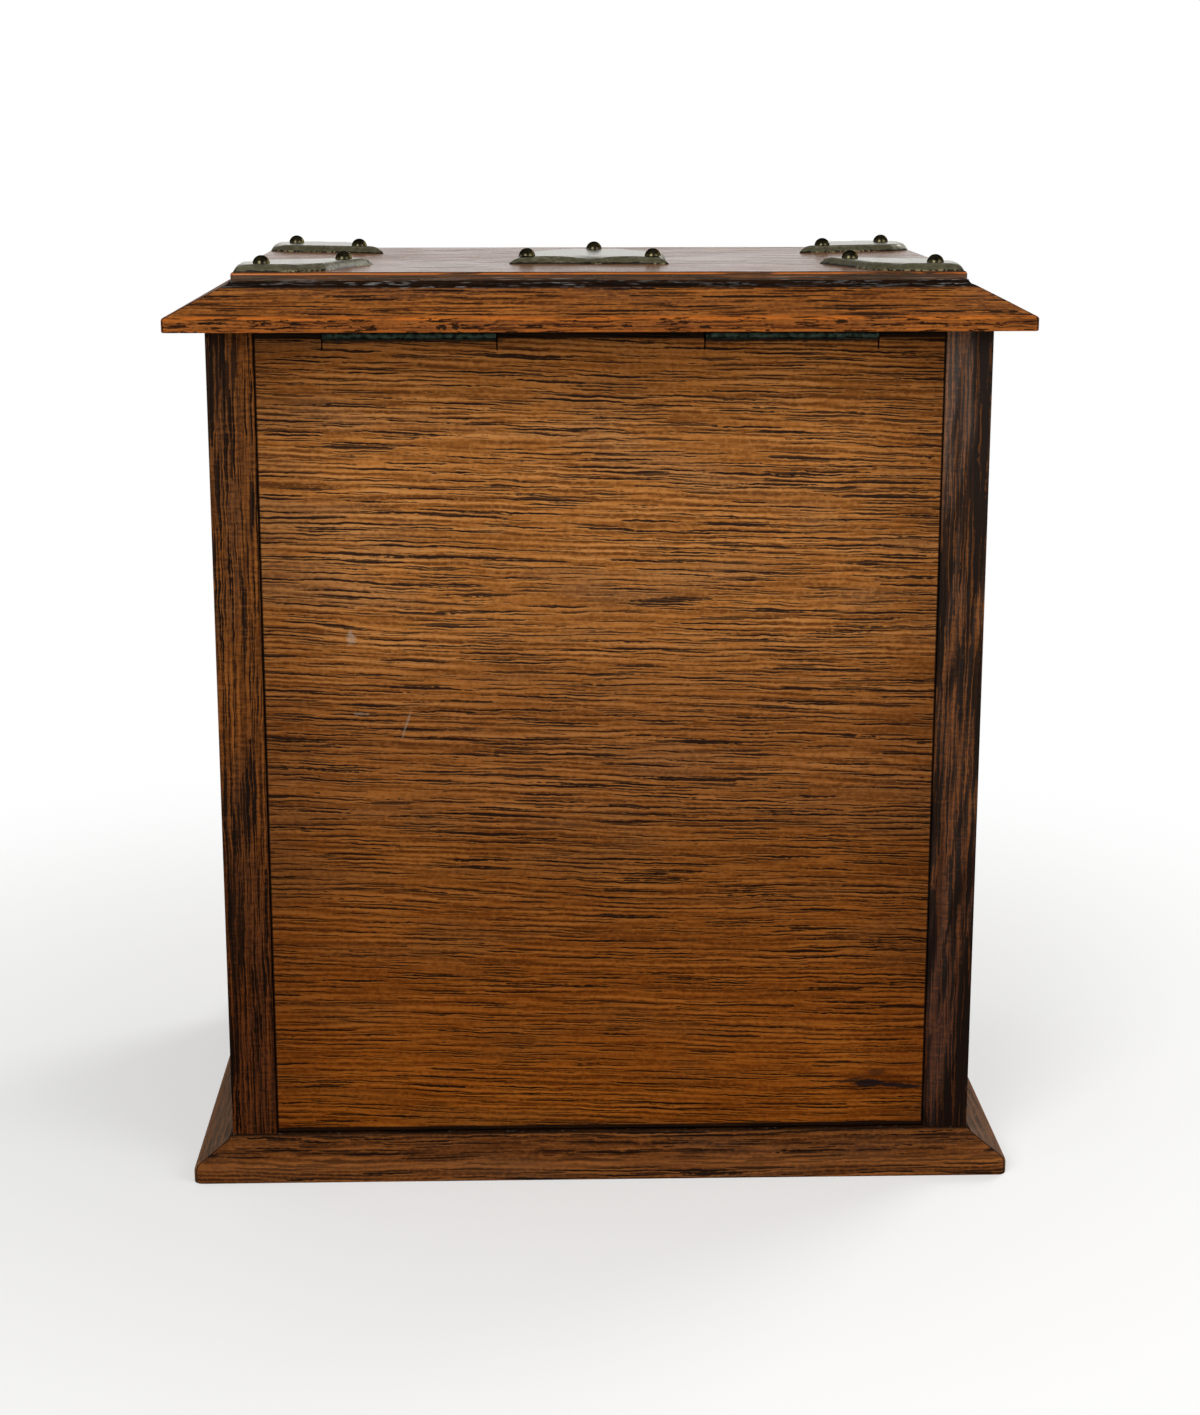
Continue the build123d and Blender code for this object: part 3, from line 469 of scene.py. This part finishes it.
def top_marks(shader, colour, relief):
    """The edge of the top board is dark and streaked below its rubbed arris; its underside is plain."""
    height = shader.axes[Z_AXIS]
    plain = colour
    face = height.step(348.95 * MM, 348.6 * MM)
    streak = shader.noise(shader.place, (22, 22, 1500), 20, detail=3.0).step(0.44, 0.54)
    worn = shader.noise(shader.place, (60, 60, 500), 21, detail=2.0).step(0.34, 0.52)
    wax = shader.noise(shader.place, (60, 60, 2000), 22, detail=2.0).step(0.56, 0.62)
    wax = wax * height.step(347.6 * MM, 347.2 * MM)
    sheet = shader.noise(shader.place, (14, 14, 14), 39, detail=1.0).step(0.5, 0.62)
    arris = height.step(348.15 * MM, 348.4 * MM) * height.step(348.95 * MM, 348.75 * MM)
    rim = height.step(348.8 * MM, 348.95 * MM) * height.step(TOP_BOARD_FACE - 0.03 * MM, 349.1 * MM)
    foot = height.step(347.0 * MM, 346.4 * MM)
    colour = shader.mix(face * 0.75, colour, srgb(62, 25, 11))
    colour = shader.mix(face * streak * 0.85, colour, srgb(22, 11, 8))
    colour = shader.mix(arris * worn * 0.85, colour, srgb(176, 92, 28))
    colour = shader.mix(rim * 0.7, colour, srgb(30, 16, 10))
    colour = shader.mix(foot * 0.8, colour, NEAR_BLACK)
    colour = shader.mix(face * wax * sheet * 0.7, colour, srgb(134, 128, 122))
    outside = height.step(TOP_BOARD_FOOT + 0.02 * MM, TOP_BOARD_FOOT + 0.12 * MM)
    colour = shader.mix(outside, plain, colour)
    return colour, relief


def far_board(shader):
    """1 on the side board at negative x and 0 on the other one."""
    return shader.axes[X_AXIS].step(-60 * MM, -120 * MM)


def stile_stain(shader):
    """Where the dark stains lie on the side boards: slanting flames, few of them on the broad faces."""
    run = shader.axes[Z_AXIS]
    across = shader.axes[X_AXIS]
    bent = shader.vector(across + run * 0.09, shader.axes[Y_AXIS], run)
    flames = shader.noise(bent, (120, 50, 14), 9, detail=2.0, roughness=0.6) - 0.5
    outer = shader.size(X_AXIS).step(131 * MM, 144 * MM)
    upper = run.step(190 * MM, 320 * MM)
    broad = shader.size(Y_AXIS).step(94.4 * MM, 88 * MM)
    far = far_board(shader) * (0.42 - upper * 0.22) * (1.0 - broad)
    pull = outer * (0.10 + upper * 0.34) + far - broad * 0.62
    return (flames * 2.0 + pull).step(0.10, 0.50)


def stile_pores(shader):
    """The side boards show more open pores where they are stained."""
    return stile_stain(shader) * 0.95 + 0.42


def stile_marks(shader, colour, relief):
    """Near-black stains run up the side boards, fine saw marks cross them, and one board has a painted grey
    sheen.
    """
    run = shader.axes[Z_AXIS]
    stain = stile_stain(shader)
    colour = shader.mix(stain * 0.5, colour, srgb(20, 15, 13))
    saw = shader.noise(shader.place, (220, 220, 900), 10, detail=1.0) - 0.5
    colour = shader.mix(saw.step(0.03, 0.15) * 0.36, colour, srgb(22, 14, 9))
    colour = shader.mix(saw.step(-0.06, -0.18) * (1.0 - stain) * 0.14, colour, srgb(136, 88, 46))
    low = run.step(240 * MM, 40 * MM)
    colour = shader.mix(low * 0.85, colour, srgb(182, 152, 142), "MULTIPLY")
    # Painted sheen: one side board is greyed, most towards its top and least on its stains.
    painted_sheen = far_board(shader) * (run.step(190 * MM, 320 * MM) * 0.11 + 0.045)
    colour = shader.mix(painted_sheen * (1.0 - stain * 0.85), colour, srgb(124, 118, 114))
    return colour, relief + saw * 0.5


def plinth_marks(shader, colour, relief):
    """Painted shade darkens the gap where the plinth meets the case, and dirt lies in its mitres."""
    height = shader.axes[Z_AXIS]
    # Painted shade: the top of the plinth is near black where it meets the case.
    rim = height.step(PLINTH_TOP - 1.4 * MM, PLINTH_TOP - 0.2 * MM)
    arris = height.step(4.2 * MM, 6.0 * MM) * height.step(9.0 * MM, 7.2 * MM)
    crumbs = shader.noise(shader.place, (500, 500, 1400), 27, detail=2.0).step(0.62, 0.68)
    colour = shader.mix(arris * 0.22, colour, srgb(140, 84, 40))
    colour = shader.mix(rim * 0.85, colour, srgb(12, 9, 7))
    colour = shader.mix(rim * crumbs * 0.2, colour, srgb(120, 108, 92))
    return mitre_line(shader, colour), relief


def plinth_end_marks(shader, colour, relief):
    """The plinth's end pieces carry a painted grey reflection, so they are greyer than its long sides."""
    cloud = shader.noise(shader.place, (30, 30, 30), 31, detail=2.0)
    # Painted reflection: the plinth's end pieces are greyed in cloudy patches.
    colour = shader.mix(cloud * 0.4 + 0.25, colour, srgb(98, 83, 70))
    return plinth_marks(shader, colour, relief)


def mount_marks(shader, colour, rough):
    """The rolled rims have a dull dark skin; a painted shadow lies at their foot, with a little pale polish
    in it.
    """
    rolled = shader.attribute("rolled")
    skin = shader.noise(shader.place, (260, 260, 260), 25, detail=2.0) - 0.5
    rolled = (rolled + skin * 0.8).step(0.25, 0.7)
    ragged = shader.noise(shader.place, (400, 400, 400), 26, detail=2.0) - 0.5
    foot = (shader.axes[Z_AXIS] + ragged * (1.3 * MM)).step(350.0 * MM, 349.6 * MM)
    where = shader.noise(shader.place, (60, 60, 60), 23, detail=1.0).step(0.5, 0.6)
    crumbs = shader.noise(shader.place, (900, 900, 900), 24, detail=2.0).step(0.46, 0.56)
    colour = shader.mix(rolled * 0.85, colour, srgb(60, 57, 42))
    # Painted shadow: a ragged near-black band at the foot of each mount.
    colour = shader.mix(foot * 0.9, colour, srgb(13, 14, 14))
    colour = shader.mix(foot * where * crumbs * 0.55, colour, srgb(150, 138, 104))
    return colour, rough + rolled * 0.2, 1.0 - rolled * 0.8


materials = {}
materials["panel"] = oak("back_panel_oak", X_AXIS, Z_AXIS, GOLDEN, 11, slant=-0.03,
                         pores=panel_pores, marks=panel_marks)
materials["front"] = oak("fall_front_oak", X_AXIS, Z_AXIS, GOLDEN, 29)
materials["stile"] = oak("side_board_oak", Z_AXIS, X_AXIS, FRAME, 41, streaks=0.45, lean=1.0,
                         pores=stile_pores, marks=stile_marks)
materials["bevel_x"] = oak("lid_moulding_oak_x", X_AXIS, Z_AXIS, REDDISH, 53, streak_pitch=1.7 * MM,
                           pores=0.46, marks=lid_marks, fineness=0.75)
materials["bevel_y"] = oak("lid_moulding_oak_y", Y_AXIS, Z_AXIS, REDDISH, 59, streak_pitch=1.7 * MM,
                           pores=0.46, marks=lid_marks, fineness=0.75)
materials["top"] = oak("lid_top_oak", X_AXIS, Y_AXIS, TOP, 67, pores=0.42, marks=top_marks,
                       roughness=0.22, index=1.5)
materials["plinth_x"] = oak("plinth_oak_x", X_AXIS, Z_AXIS, PLINTH, 71, streak_pitch=2.0 * MM,
                            streaks=0.55, pores=0.4, marks=plinth_marks, fineness=0.8)
materials["plinth_y"] = oak("plinth_oak_y", Y_AXIS, Z_AXIS, PLINTH, 73, streak_pitch=2.2 * MM,
                            streaks=0.6, pores=0.35, marks=plinth_end_marks, roughness=0.7, index=1.08)
materials["inside_x"] = oak("inside_oak_x", X_AXIS, Z_AXIS, INSIDE, 83, pores=0.35, streaks=0.4)
materials["inside_z"] = oak("inside_oak_z", Z_AXIS, Y_AXIS, INSIDE, 89, pores=0.35, streaks=0.4)
materials["inside_flat"] = oak("inside_oak_flat", X_AXIS, Y_AXIS, INSIDE, 97, pores=0.35, streaks=0.4)
materials["mount"] = brass("mount_brass", srgb(166, 160, 130), srgb(122, 116, 90), 101, roughness=0.2,
                           dent=0.012 * MM, marks=mount_marks, gloss=0.05)
materials["plate"] = brass("plate_brass", srgb(130, 120, 84), srgb(92, 85, 60), 113, roughness=0.26,
                           dent=0.02 * MM)
materials["stud"] = brass("stud_brass", srgb(78, 72, 50), srgb(50, 46, 34), 105, roughness=0.22,
                          dent=0.01 * MM, rim=0.25)
materials["hinge"] = brass("hinge_brass", srgb(54, 66, 56), srgb(20, 25, 21), 103, roughness=0.5,
                           spots=0.8, rim=0.3)
materials["lock"] = brass("lock_brass", srgb(190, 158, 92), srgb(150, 122, 70), 107, spots=0.25)
materials["steel"] = dull_steel("screw_steel", 109)

# ---------------------------------------------------------------- boards

LEAST_EDGE = 14 * MM
SHARP_ANGLE = math.radians(24)
SHADED_SHARP = math.radians(28)


def hand_over(mesh, node, suffix, material):
    """Make the mesh a piece that rides where the CAD node does and stands for it."""
    piece = bpy.data.objects.new(node + suffix, mesh)
    bpy.context.scene.collection.objects.link(piece)
    mesh.materials.append(materials[material])
    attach(piece, nodes[node]["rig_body"])
    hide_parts(node)


def round_corners(mesh, edge_top, radius):
    """Wear down the outer upright corners where two mouldings meet, the same way on both."""
    slope_run = 2 * radius
    shaped = set()
    for vertex in mesh.verts:
        above = max(0.0, vertex.co.z - edge_top)
        strength = max(0.0, 1.0 - above / slope_run)
        inset = above * 2 + radius
        out_x = abs(vertex.co.x) - (lid_high.x - inset)
        out_y = abs(vertex.co.y) - (lid_high.y - inset)
        if strength == 0.0 or out_x <= 0 or out_y <= 0:
            continue
        shrink = max(out_x, out_y) / math.hypot(out_x, out_y)
        shrink = 1 + (shrink - 1) * strength
        vertex.co.x = math.copysign(lid_high.x - inset + out_x * shrink, vertex.co.x)
        vertex.co.y = math.copysign(lid_high.y - inset + out_y * shrink, vertex.co.y)
        shaped.add(vertex)
    return shaped


def round_arrises(mesh, arris, edge_top=None, nose=None):
    """Round the long sharp edges; those at the moulding's edge height are first rounded by nose."""
    for rounding in (nose, arris):
        sharp = [edge for edge in mesh.edges
                 if edge.is_manifold and edge.is_convex and edge.calc_length() > LEAST_EDGE
                 and edge.calc_face_angle(0) > SHARP_ANGLE]
        if rounding is nose:
            sharp = [edge for edge in sharp
                     if nose and all(abs(vertex.co.z - edge_top) < 0.1 * MM for vertex in edge.verts)]
        bmesh.ops.bevel(mesh, geom=sharp, offset=rounding or 0.0, offset_type="OFFSET", segments=3,
                        profile=0.5, affect="EDGES", clamp_overlap=True, material=1)


def cut(mesh, place, direction):
    """Cut the faces along a plane, which leaves the shape as it is."""
    bmesh.ops.bisect_plane(mesh, geom=mesh.verts[:] + mesh.edges[:] + mesh.faces[:],
                           dist=0.01 * MM, plane_co=place, plane_no=direction)


def worn_board(node, along, material, arris=0.9 * MM, wear=1.0, slice_gap=3 * MM, seed=0,
               rows=(), gouges=(), corner=None, nose=None):
    """A copy of a board with its long arrises rounded, rubbed and nicked; it stands for the CAD node.

    Rows are heights at which it is cut once more, so that gouges have points to move. A gouge is
    (place along the board, height, half length, half height, depth), in millimetres. A corner is the
    height of a moulding's square edge and the radius to which its outer corners are worn, and a nose is
    how far the arris at that height is rounded.
    """
    mesh = bmesh.new()
    mesh.from_mesh(nodes[node].data)
    bmesh.ops.remove_doubles(mesh, verts=mesh.verts, dist=0.001 * MM)
    bmesh.ops.dissolve_limit(mesh, angle_limit=math.radians(0.2), verts=mesh.verts, edges=mesh.edges)
    for face in mesh.faces:
        face.material_index = 0
    round_arrises(mesh, arris, corner[0] if corner else None, nose)
    low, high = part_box(node)
    direction = Vector([1.0 if axis == along else 0.0 for axis in range(3)])
    length = high[along] - low[along]
    count = int(length / slice_gap)
    cuts = [length * number / count for number in range(1, count)]
    if corner:
        steps = [corner[1] * share for share in (0.25, 0.5, 0.75, 1.0)]
        cuts += steps + [length - step for step in steps]
    for place in cuts:
        cut(mesh, low + direction * place, direction)
    for height in rows:
        cut(mesh, (0, 0, height), (0, 0, 1))
    rubbed = mesh.verts.layers.float.new("rubbed")
    dirt = mesh.verts.layers.float.new("dirt")
    mesh.normal_update()
    moves = {}
    for vertex in mesh.verts:
        rounded = [face for face in vertex.link_faces if face.material_index == 1]
        if not rounded:
            continue
        vertex[rubbed] = 0.0
        if len(rounded) < len(vertex.link_faces):
            continue
        place = vertex.co
        soft = noise.noise(place * 38 + Vector((seed, 0, 0))) * 0.5 + 0.5
        nick = noise.noise(place * 210 + Vector((0, seed, 0)))
        bite = max(0.0, nick - 0.28) * 2.2
        vertex[rubbed] = 1.0
        vertex[dirt] = min(1.0, bite * 1.6)
        moves[vertex] = vertex.normal * -((0.10 * soft + 0.55 * bite) * MM * wear)
    shaped = set()
    for place, height, half_length, half_height, depth in gouges:
        for vertex in mesh.verts:
            if vertex.normal.y < 0.2:
                continue
            off = math.hypot((vertex.co[along] / MM - place) / half_length,
                             (vertex.co.z / MM - height) / half_height)
            if off < 1.0:
                share = (1 - off * off) ** 0.5
                moves[vertex] = moves.get(vertex, Vector()) - vertex.normal * (depth * MM * share)
                shaped.add(vertex)
                vertex[dirt] = max(vertex[dirt], min(0.75, share))
    for vertex, move in moves.items():
        if not low[along] + 0.3 * MM < vertex.co[along] < high[along] - 0.3 * MM:
            move[along] = 0.0
        vertex.co += move
        for axis in range(3):
            vertex.co[axis] = min(max(vertex.co[axis], low[axis]), high[axis])
    if corner:
        shaped |= round_corners(mesh, *corner)
    for face in mesh.faces:
        face.smooth = face.material_index == 1 or not shaped.isdisjoint(face.verts)
        face.material_index = 0
    bmesh.ops.triangulate(mesh, faces=[face for face in mesh.faces if len(face.verts) > 4])
    mesh.faces.index_update()
    smooth = [face.smooth for face in mesh.faces]
    board = bpy.data.meshes.new(node + "_worn")
    mesh.to_mesh(board)
    mesh.free()
    board.set_sharp_from_angle(angle=SHADED_SHARP)
    board.polygons.foreach_set("use_smooth", smooth)
    hand_over(board, node, "_worn", material)


worn_board("back_panel", X_AXIS, "panel", arris=0.5 * MM, wear=0.5, seed=3)
lid_edge_rows = [(329.9 + 0.6 * step) * MM for step in range(7)]
lid_corner = (LID_EDGE, 2.0 * MM)
plinth_corner = (PLINTH_EDGE, 3.4 * MM)
back_gouges = [(82.6, 330.4, 2.2, 0.9, 0.5), (57.8, 330.9, 2.2, 1.4, 0.7), (53.0, 331.0, 1.8, 1.3, 0.6),
               (121.4, 332.3, 3.0, 0.7, 0.4), (111, 332.3, 3.0, 0.7, 0.4), (-86.9, 332.7, 3.0, 0.9, 0.5),
               (-9, 331.2, 2.4, 0.7, 0.4), (-37, 330.6, 3.0, 0.7, 0.4), (-120, 331.8, 6.0, 0.6, 0.4),
               (140, 332.5, 7.0, 0.6, 0.4)]
for number, side in enumerate(("left", "right")):
    worn_board(f"{side}_side_board", Z_AXIS, "stile", arris=0.9 * MM, seed=10 + number)
    worn_board(f"lid_moulding_{side}", Y_AXIS, "bevel_y", seed=20 + number, corner=lid_corner, nose=1.4 * MM)
    worn_board(f"plinth_{side}", Y_AXIS, "plinth_y", seed=30 + number, corner=plinth_corner, nose=2.4 * MM)
for number, side in enumerate(("front", "back")):
    worn_board(f"lid_moulding_{side}", X_AXIS, "bevel_x", seed=40 + number, slice_gap=1.0 * MM,
               rows=lid_edge_rows, gouges=back_gouges if side == "back" else (), corner=lid_corner,
               nose=1.4 * MM)
    worn_board(f"plinth_{side}", X_AXIS, "plinth_x", seed=50 + number, corner=plinth_corner, nose=2.4 * MM)
worn_board("lid_top_board", X_AXIS, "top", arris=0.6 * MM, seed=60)
worn_board("fall_front", X_AXIS, "front", arris=0.7 * MM, seed=70)

# ---------------------------------------------------------------- pressed mounts


def outer_loop(node, base):
    """The plan outline of a mount, in order, from the flat rim that it stands on."""
    mesh = bmesh.new()
    mesh.from_mesh(nodes[node].data)
    bmesh.ops.remove_doubles(mesh, verts=mesh.verts, dist=0.001 * MM)
    rim = {face for face in mesh.faces
           if face.normal.z < -0.9 and all(abs(vertex.co.z - base) < 0.01 * MM for vertex in face.verts)}
    border = [edge for edge in mesh.edges if sum(face in rim for face in edge.link_faces) == 1]
    beside = {}
    for edge in border:
        first, second = edge.verts
        beside.setdefault(first, []).append(second)
        beside.setdefault(second, []).append(first)
    start = max(beside, key=lambda vertex: vertex.co.x)
    loop = [start, beside[start][0]]
    while loop[-1] is not start:
        one, other = beside[loop[-1]]
        loop.append(other if one is loop[-2] else one)
    points = [Vector((vertex.co.x, vertex.co.y)) for vertex in loop[:-1]]
    mesh.free()
    return points


def even_points(points, gap):
    """The closed outline with points no further apart than gap."""
    spread = []
    for point, following in zip(points, points[1:] + points[:1]):
        count = max(1, math.ceil((following - point).length / gap))
        spread += [point.lerp(following, number / count) for number in range(count)]
    return spread


def nearest_in(points):
    """A search tree over points in the plan."""
    tree = kdtree.KDTree(len(points))
    for number, point in enumerate(points):
        tree.insert((point.x, point.y, 0), number)
    tree.balance()
    return tree


def sharp_corners(points, least_turn):
    """The points of an outline at which it turns outwards by more than least_turn."""
    area = sum(point.cross(following) for point, following in zip(points, points[1:] + points[:1]))
    found = []
    for before, point, after in zip(points[-1:] + points[:-1], points, points[1:] + points[:1]):
        turn = (point - before).angle_signed(after - point, 0.0)
        if turn * (-1 if area > 0 else 1) > least_turn:
            found.append(point)
    return found


def inside(point, outline):
    """Whether the point lies within the closed outline."""
    within = False
    for start, end in zip(outline, outline[1:] + outline[:1]):
        if (start.y > point.y) != (end.y > point.y):
            if point.x < start.x + (end.x - start.x) * (point.y - start.y) / (end.y - start.y):
                within = not within
    return within


def pillow_mount(node, rim_width=2.7 * MM, gap=1.0 * MM, tip_run=8.0 * MM):
    """A mount pressed from thin sheet: flat on top, its rim rolled down to the wood, its points low."""
    low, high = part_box(node)
    corners = outer_loop(node, low.z)
    outline = even_points(corners, gap)
    rim = nearest_in(even_points(corners, gap / 5))
    tips = nearest_in(sharp_corners(corners, math.radians(40)))
    points = list(outline)
    steps_x, steps_y = (int((high[axis] - low[axis]) / gap) + 1 for axis in (X_AXIS, Y_AXIS))
    for row in range(steps_y):
        for column in range(steps_x):
            point = Vector((low.x + (column + 0.5 * (row % 2)) * gap, low.y + row * gap))
            if rim.find((point.x, point.y, 0))[2] > 0.3 * gap and inside(point, outline):
                points.append(point)
    edges = [(number, (number + 1) % len(outline)) for number in range(len(outline))]
    flat, _, faces, *_ = geometry.delaunay_2d_cdt(points, edges, [], 1, 0.00001 * MM)
    thickness = high.z - low.z
    places = []
    rolls = []
    for point in flat:
        place = Vector((point.x, point.y, 0))
        depth = min(1.0, rim.find(place)[2] / rim_width)
        tip = min(1.0, tips.find(place)[2] / tip_run)
        swell = 0.45 + 0.55 * (1 - (1 - tip) ** 2)
        height = thickness * swell * (1 - (1 - depth) ** 2) ** 0.5
        wave = noise.noise(place * 160) * 0.14 * MM * depth * (1 - depth) * 4
        places.append((point.x, point.y, min(low.z + height + wave, high.z)))
        rolls.append(max(1.0 - depth, 0.8 - tip))
    count = len(places)
    places += [(point.x, point.y, low.z) for point in outline]
    rolls += [1.0] * len(outline)
    faces = [tuple(face) for face in faces]
    skirt = [(following, number, count + number, count + following) for number, following in edges]
    sheet = bpy.data.meshes.new(node + "_pressed")
    sheet.from_pydata(places, [], faces + skirt + [tuple(range(count, count + len(outline)))])
    sheet.attributes.new("rolled", "FLOAT", "POINT").data.foreach_set("value", rolls)
    tidy = bmesh.new()
    tidy.from_mesh(sheet)
    bmesh.ops.remove_doubles(tidy, verts=tidy.verts, dist=0.005 * MM)
    bmesh.ops.recalc_face_normals(tidy, faces=tidy.faces)
    for face in tidy.faces:
        face.smooth = True
    tidy.to_mesh(sheet)
    tidy.free()
    sheet.set_sharp_from_angle(angle=math.radians(50))
    hand_over(sheet, node, "_pressed", "mount")


for mount in [name for name in nodes if name.startswith("corner_mount_")]:
    pillow_mount(mount)
pillow_mount("shield_mount", rim_width=1.8 * MM, tip_run=15 * MM)

cad_materials = {
    "bottom_board": "inside_flat", "rack_cheek_left": "inside_z", "rack_cheek_right": "inside_z",
    "stop_bead_left": "inside_z", "stop_bead_right": "inside_z", "rack_front_rail": "inside_x",
    "rack_divider_back": "inside_x", "rack_divider_middle": "inside_x", "rack_divider_front": "inside_x",
}
cad_materials.update({name: "stud" for name in nodes if name.endswith("_studs")})
cad_materials["escutcheon_plate"] = "plate"
slot_materials = {"mount_brass": "mount", "hinge_brass": "hinge", "lock_brass": "lock",
                  "screw_steel": "steel"}
for name, node in nodes.items():
    chosen = cad_materials.get(name) or slot_materials.get(node_slots[name])
    if chosen:
        node.data.materials.clear()
        node.data.materials.append(materials[chosen])

# ---------------------------------------------------------------- floor, light and camera


def white_world():
    """The camera sees white, what lights the object is dimmer, and so is what gloss mirrors overhead."""
    world = bpy.data.worlds.new("studio")
    bpy.context.scene.world = world
    world.use_nodes = True
    backdrop = world.node_tree.nodes["Background"]
    backdrop.inputs["Color"].default_value = (1.0, 1.0, 1.0, 1.0)
    rays = world.node_tree.nodes.new("ShaderNodeLightPath")
    seen = None
    for kind in ("Is Camera Ray", "Is Glossy Ray", "Is Transmission Ray"):
        if seen is None:
            seen = rays.outputs[kind]
            continue
        either = world.node_tree.nodes.new("ShaderNodeMath")
        either.operation = "MAXIMUM"
        world.node_tree.links.new(seen, either.inputs[0])
        world.node_tree.links.new(rays.outputs[kind], either.inputs[1])
        seen = either.outputs[0]
    level = world.node_tree.nodes.new("ShaderNodeMapRange")
    level.inputs["To Min"].default_value = 0.5
    world.node_tree.links.new(seen, level.inputs["Value"])
    world.node_tree.links.new(level.outputs[0], backdrop.inputs["Strength"])

    # What gloss reflects is white low down, as the backdrop is, and dimmer overhead; the camera sees white.
    way = world.node_tree.nodes.new("ShaderNodeTexCoord")
    heights = world.node_tree.nodes.new("ShaderNodeSeparateXYZ")
    world.node_tree.links.new(way.outputs["Generated"], heights.inputs[0])
    overhead = world.node_tree.nodes.new("ShaderNodeMapRange")
    overhead.inputs["From Min"].default_value = 0.15
    overhead.inputs["From Max"].default_value = 0.45
    overhead.inputs["To Min"].default_value = 1.0
    overhead.inputs["To Max"].default_value = 0.22
    world.node_tree.links.new(heights.outputs["Z"], overhead.inputs["Value"])
    shown_white = world.node_tree.nodes.new("ShaderNodeMath")
    shown_white.operation = "MAXIMUM"
    world.node_tree.links.new(overhead.outputs[0], shown_white.inputs[0])
    world.node_tree.links.new(rays.outputs["Is Camera Ray"], shown_white.inputs[1])
    world.node_tree.links.new(shown_white.outputs[0], level.inputs["To Max"])


def paper_floor():
    """A pale floor that keeps the shadow and turns into the white backdrop away from the object."""
    floor_mesh = bpy.data.meshes.new("floor")
    reach = 6.0
    corners = [(-reach, -reach, 0), (reach, -reach, 0), (reach, reach, 0), (-reach, reach, 0)]
    floor_mesh.from_pydata(corners, [], [(0, 1, 2, 3)])
    floor = bpy.data.objects.new("floor", floor_mesh)
    bpy.context.scene.collection.objects.link(floor)
    shader = Shader("floor_paper")
    tone = shader.noise(shader.place, (2, 2, 2), 5)
    colour = shader.mix(tone, srgb(240, 240, 238), srgb(243, 243, 241))
    floor_mesh.materials.append(shader.finish(colour, 0.9))

    # Away from the object the floor turns into the plain white of the backdrop.
    distance = shader.math("SQRT", shader.axes[X_AXIS] * shader.axes[X_AXIS]
                           + shader.axes[Y_AXIS] * shader.axes[Y_AXIS])
    white = shader.tree.nodes.new("ShaderNodeEmission")
    white.inputs["Color"].default_value = (1.0, 1.0, 1.0, 1.0)
    white.inputs["Strength"].default_value = 1.0
    blend = shader.tree.nodes.new("ShaderNodeMixShader")
    floor_rays = shader.tree.nodes.new("ShaderNodeLightPath")
    shown = Field(shader, floor_rays.outputs["Is Camera Ray"])
    mirrored = Field(shader, floor_rays.outputs["Is Glossy Ray"])
    shader.join((shown + mirrored) * (0.35 + distance.step(0.2, 0.6) * 0.65), blend.inputs["Fac"])
    shader.tree.links.new(shader.surface.outputs[0], blend.inputs[1])
    shader.tree.links.new(white.outputs[0], blend.inputs[2])
    output = shader.tree.nodes["Material Output"]
    shader.tree.links.new(blend.outputs[0], output.inputs["Surface"])


def area_light(name, place, target, size, power):
    """A soft round lamp that points at the target."""
    light = bpy.data.lights.new(name, "AREA")
    light.shape = "DISK"
    light.size = size
    light.energy = power
    lamp = bpy.data.objects.new(name, light)
    bpy.context.scene.collection.objects.link(lamp)
    lamp.location = place
    lamp.rotation_euler = (Vector(target) - Vector(place)).to_track_quat("-Z", "Y").to_euler()


white_world()
paper_floor()
middle = (0.0, 0.0, 0.17)
area_light("key", (0.7, 1.5, 1.0), middle, 1.0, 18)
area_light("fill", (-1.2, 1.0, 0.8), middle, 1.0, 8)
area_light("front_light", (-1.3, -1.2, 1.0), middle, 1.0, 18)

camera_place = Vector((27.1, 1034.1, 407.6)) * MM
camera_pitch = math.radians(13.248)
camera_yaw = math.radians(1.63)
picture_height = 1415
focal_pixels = 2542.4
camera = bpy.data.cameras.new("camera")
camera.sensor_width = 36.0
camera.lens = focal_pixels * camera.sensor_width / picture_height
camera.clip_start = 0.05
viewer = bpy.data.objects.new("camera", camera)
bpy.context.scene.collection.objects.link(viewer)
viewer.location = camera_place
looking = Vector((-math.sin(camera_yaw) * math.cos(camera_pitch),
                  -math.cos(camera_yaw) * math.cos(camera_pitch), -math.sin(camera_pitch)))
viewer.rotation_euler = looking.to_track_quat("-Z", "Y").to_euler()
bpy.context.scene.camera = viewer

bpy.context.scene.view_settings.view_transform = "Standard"
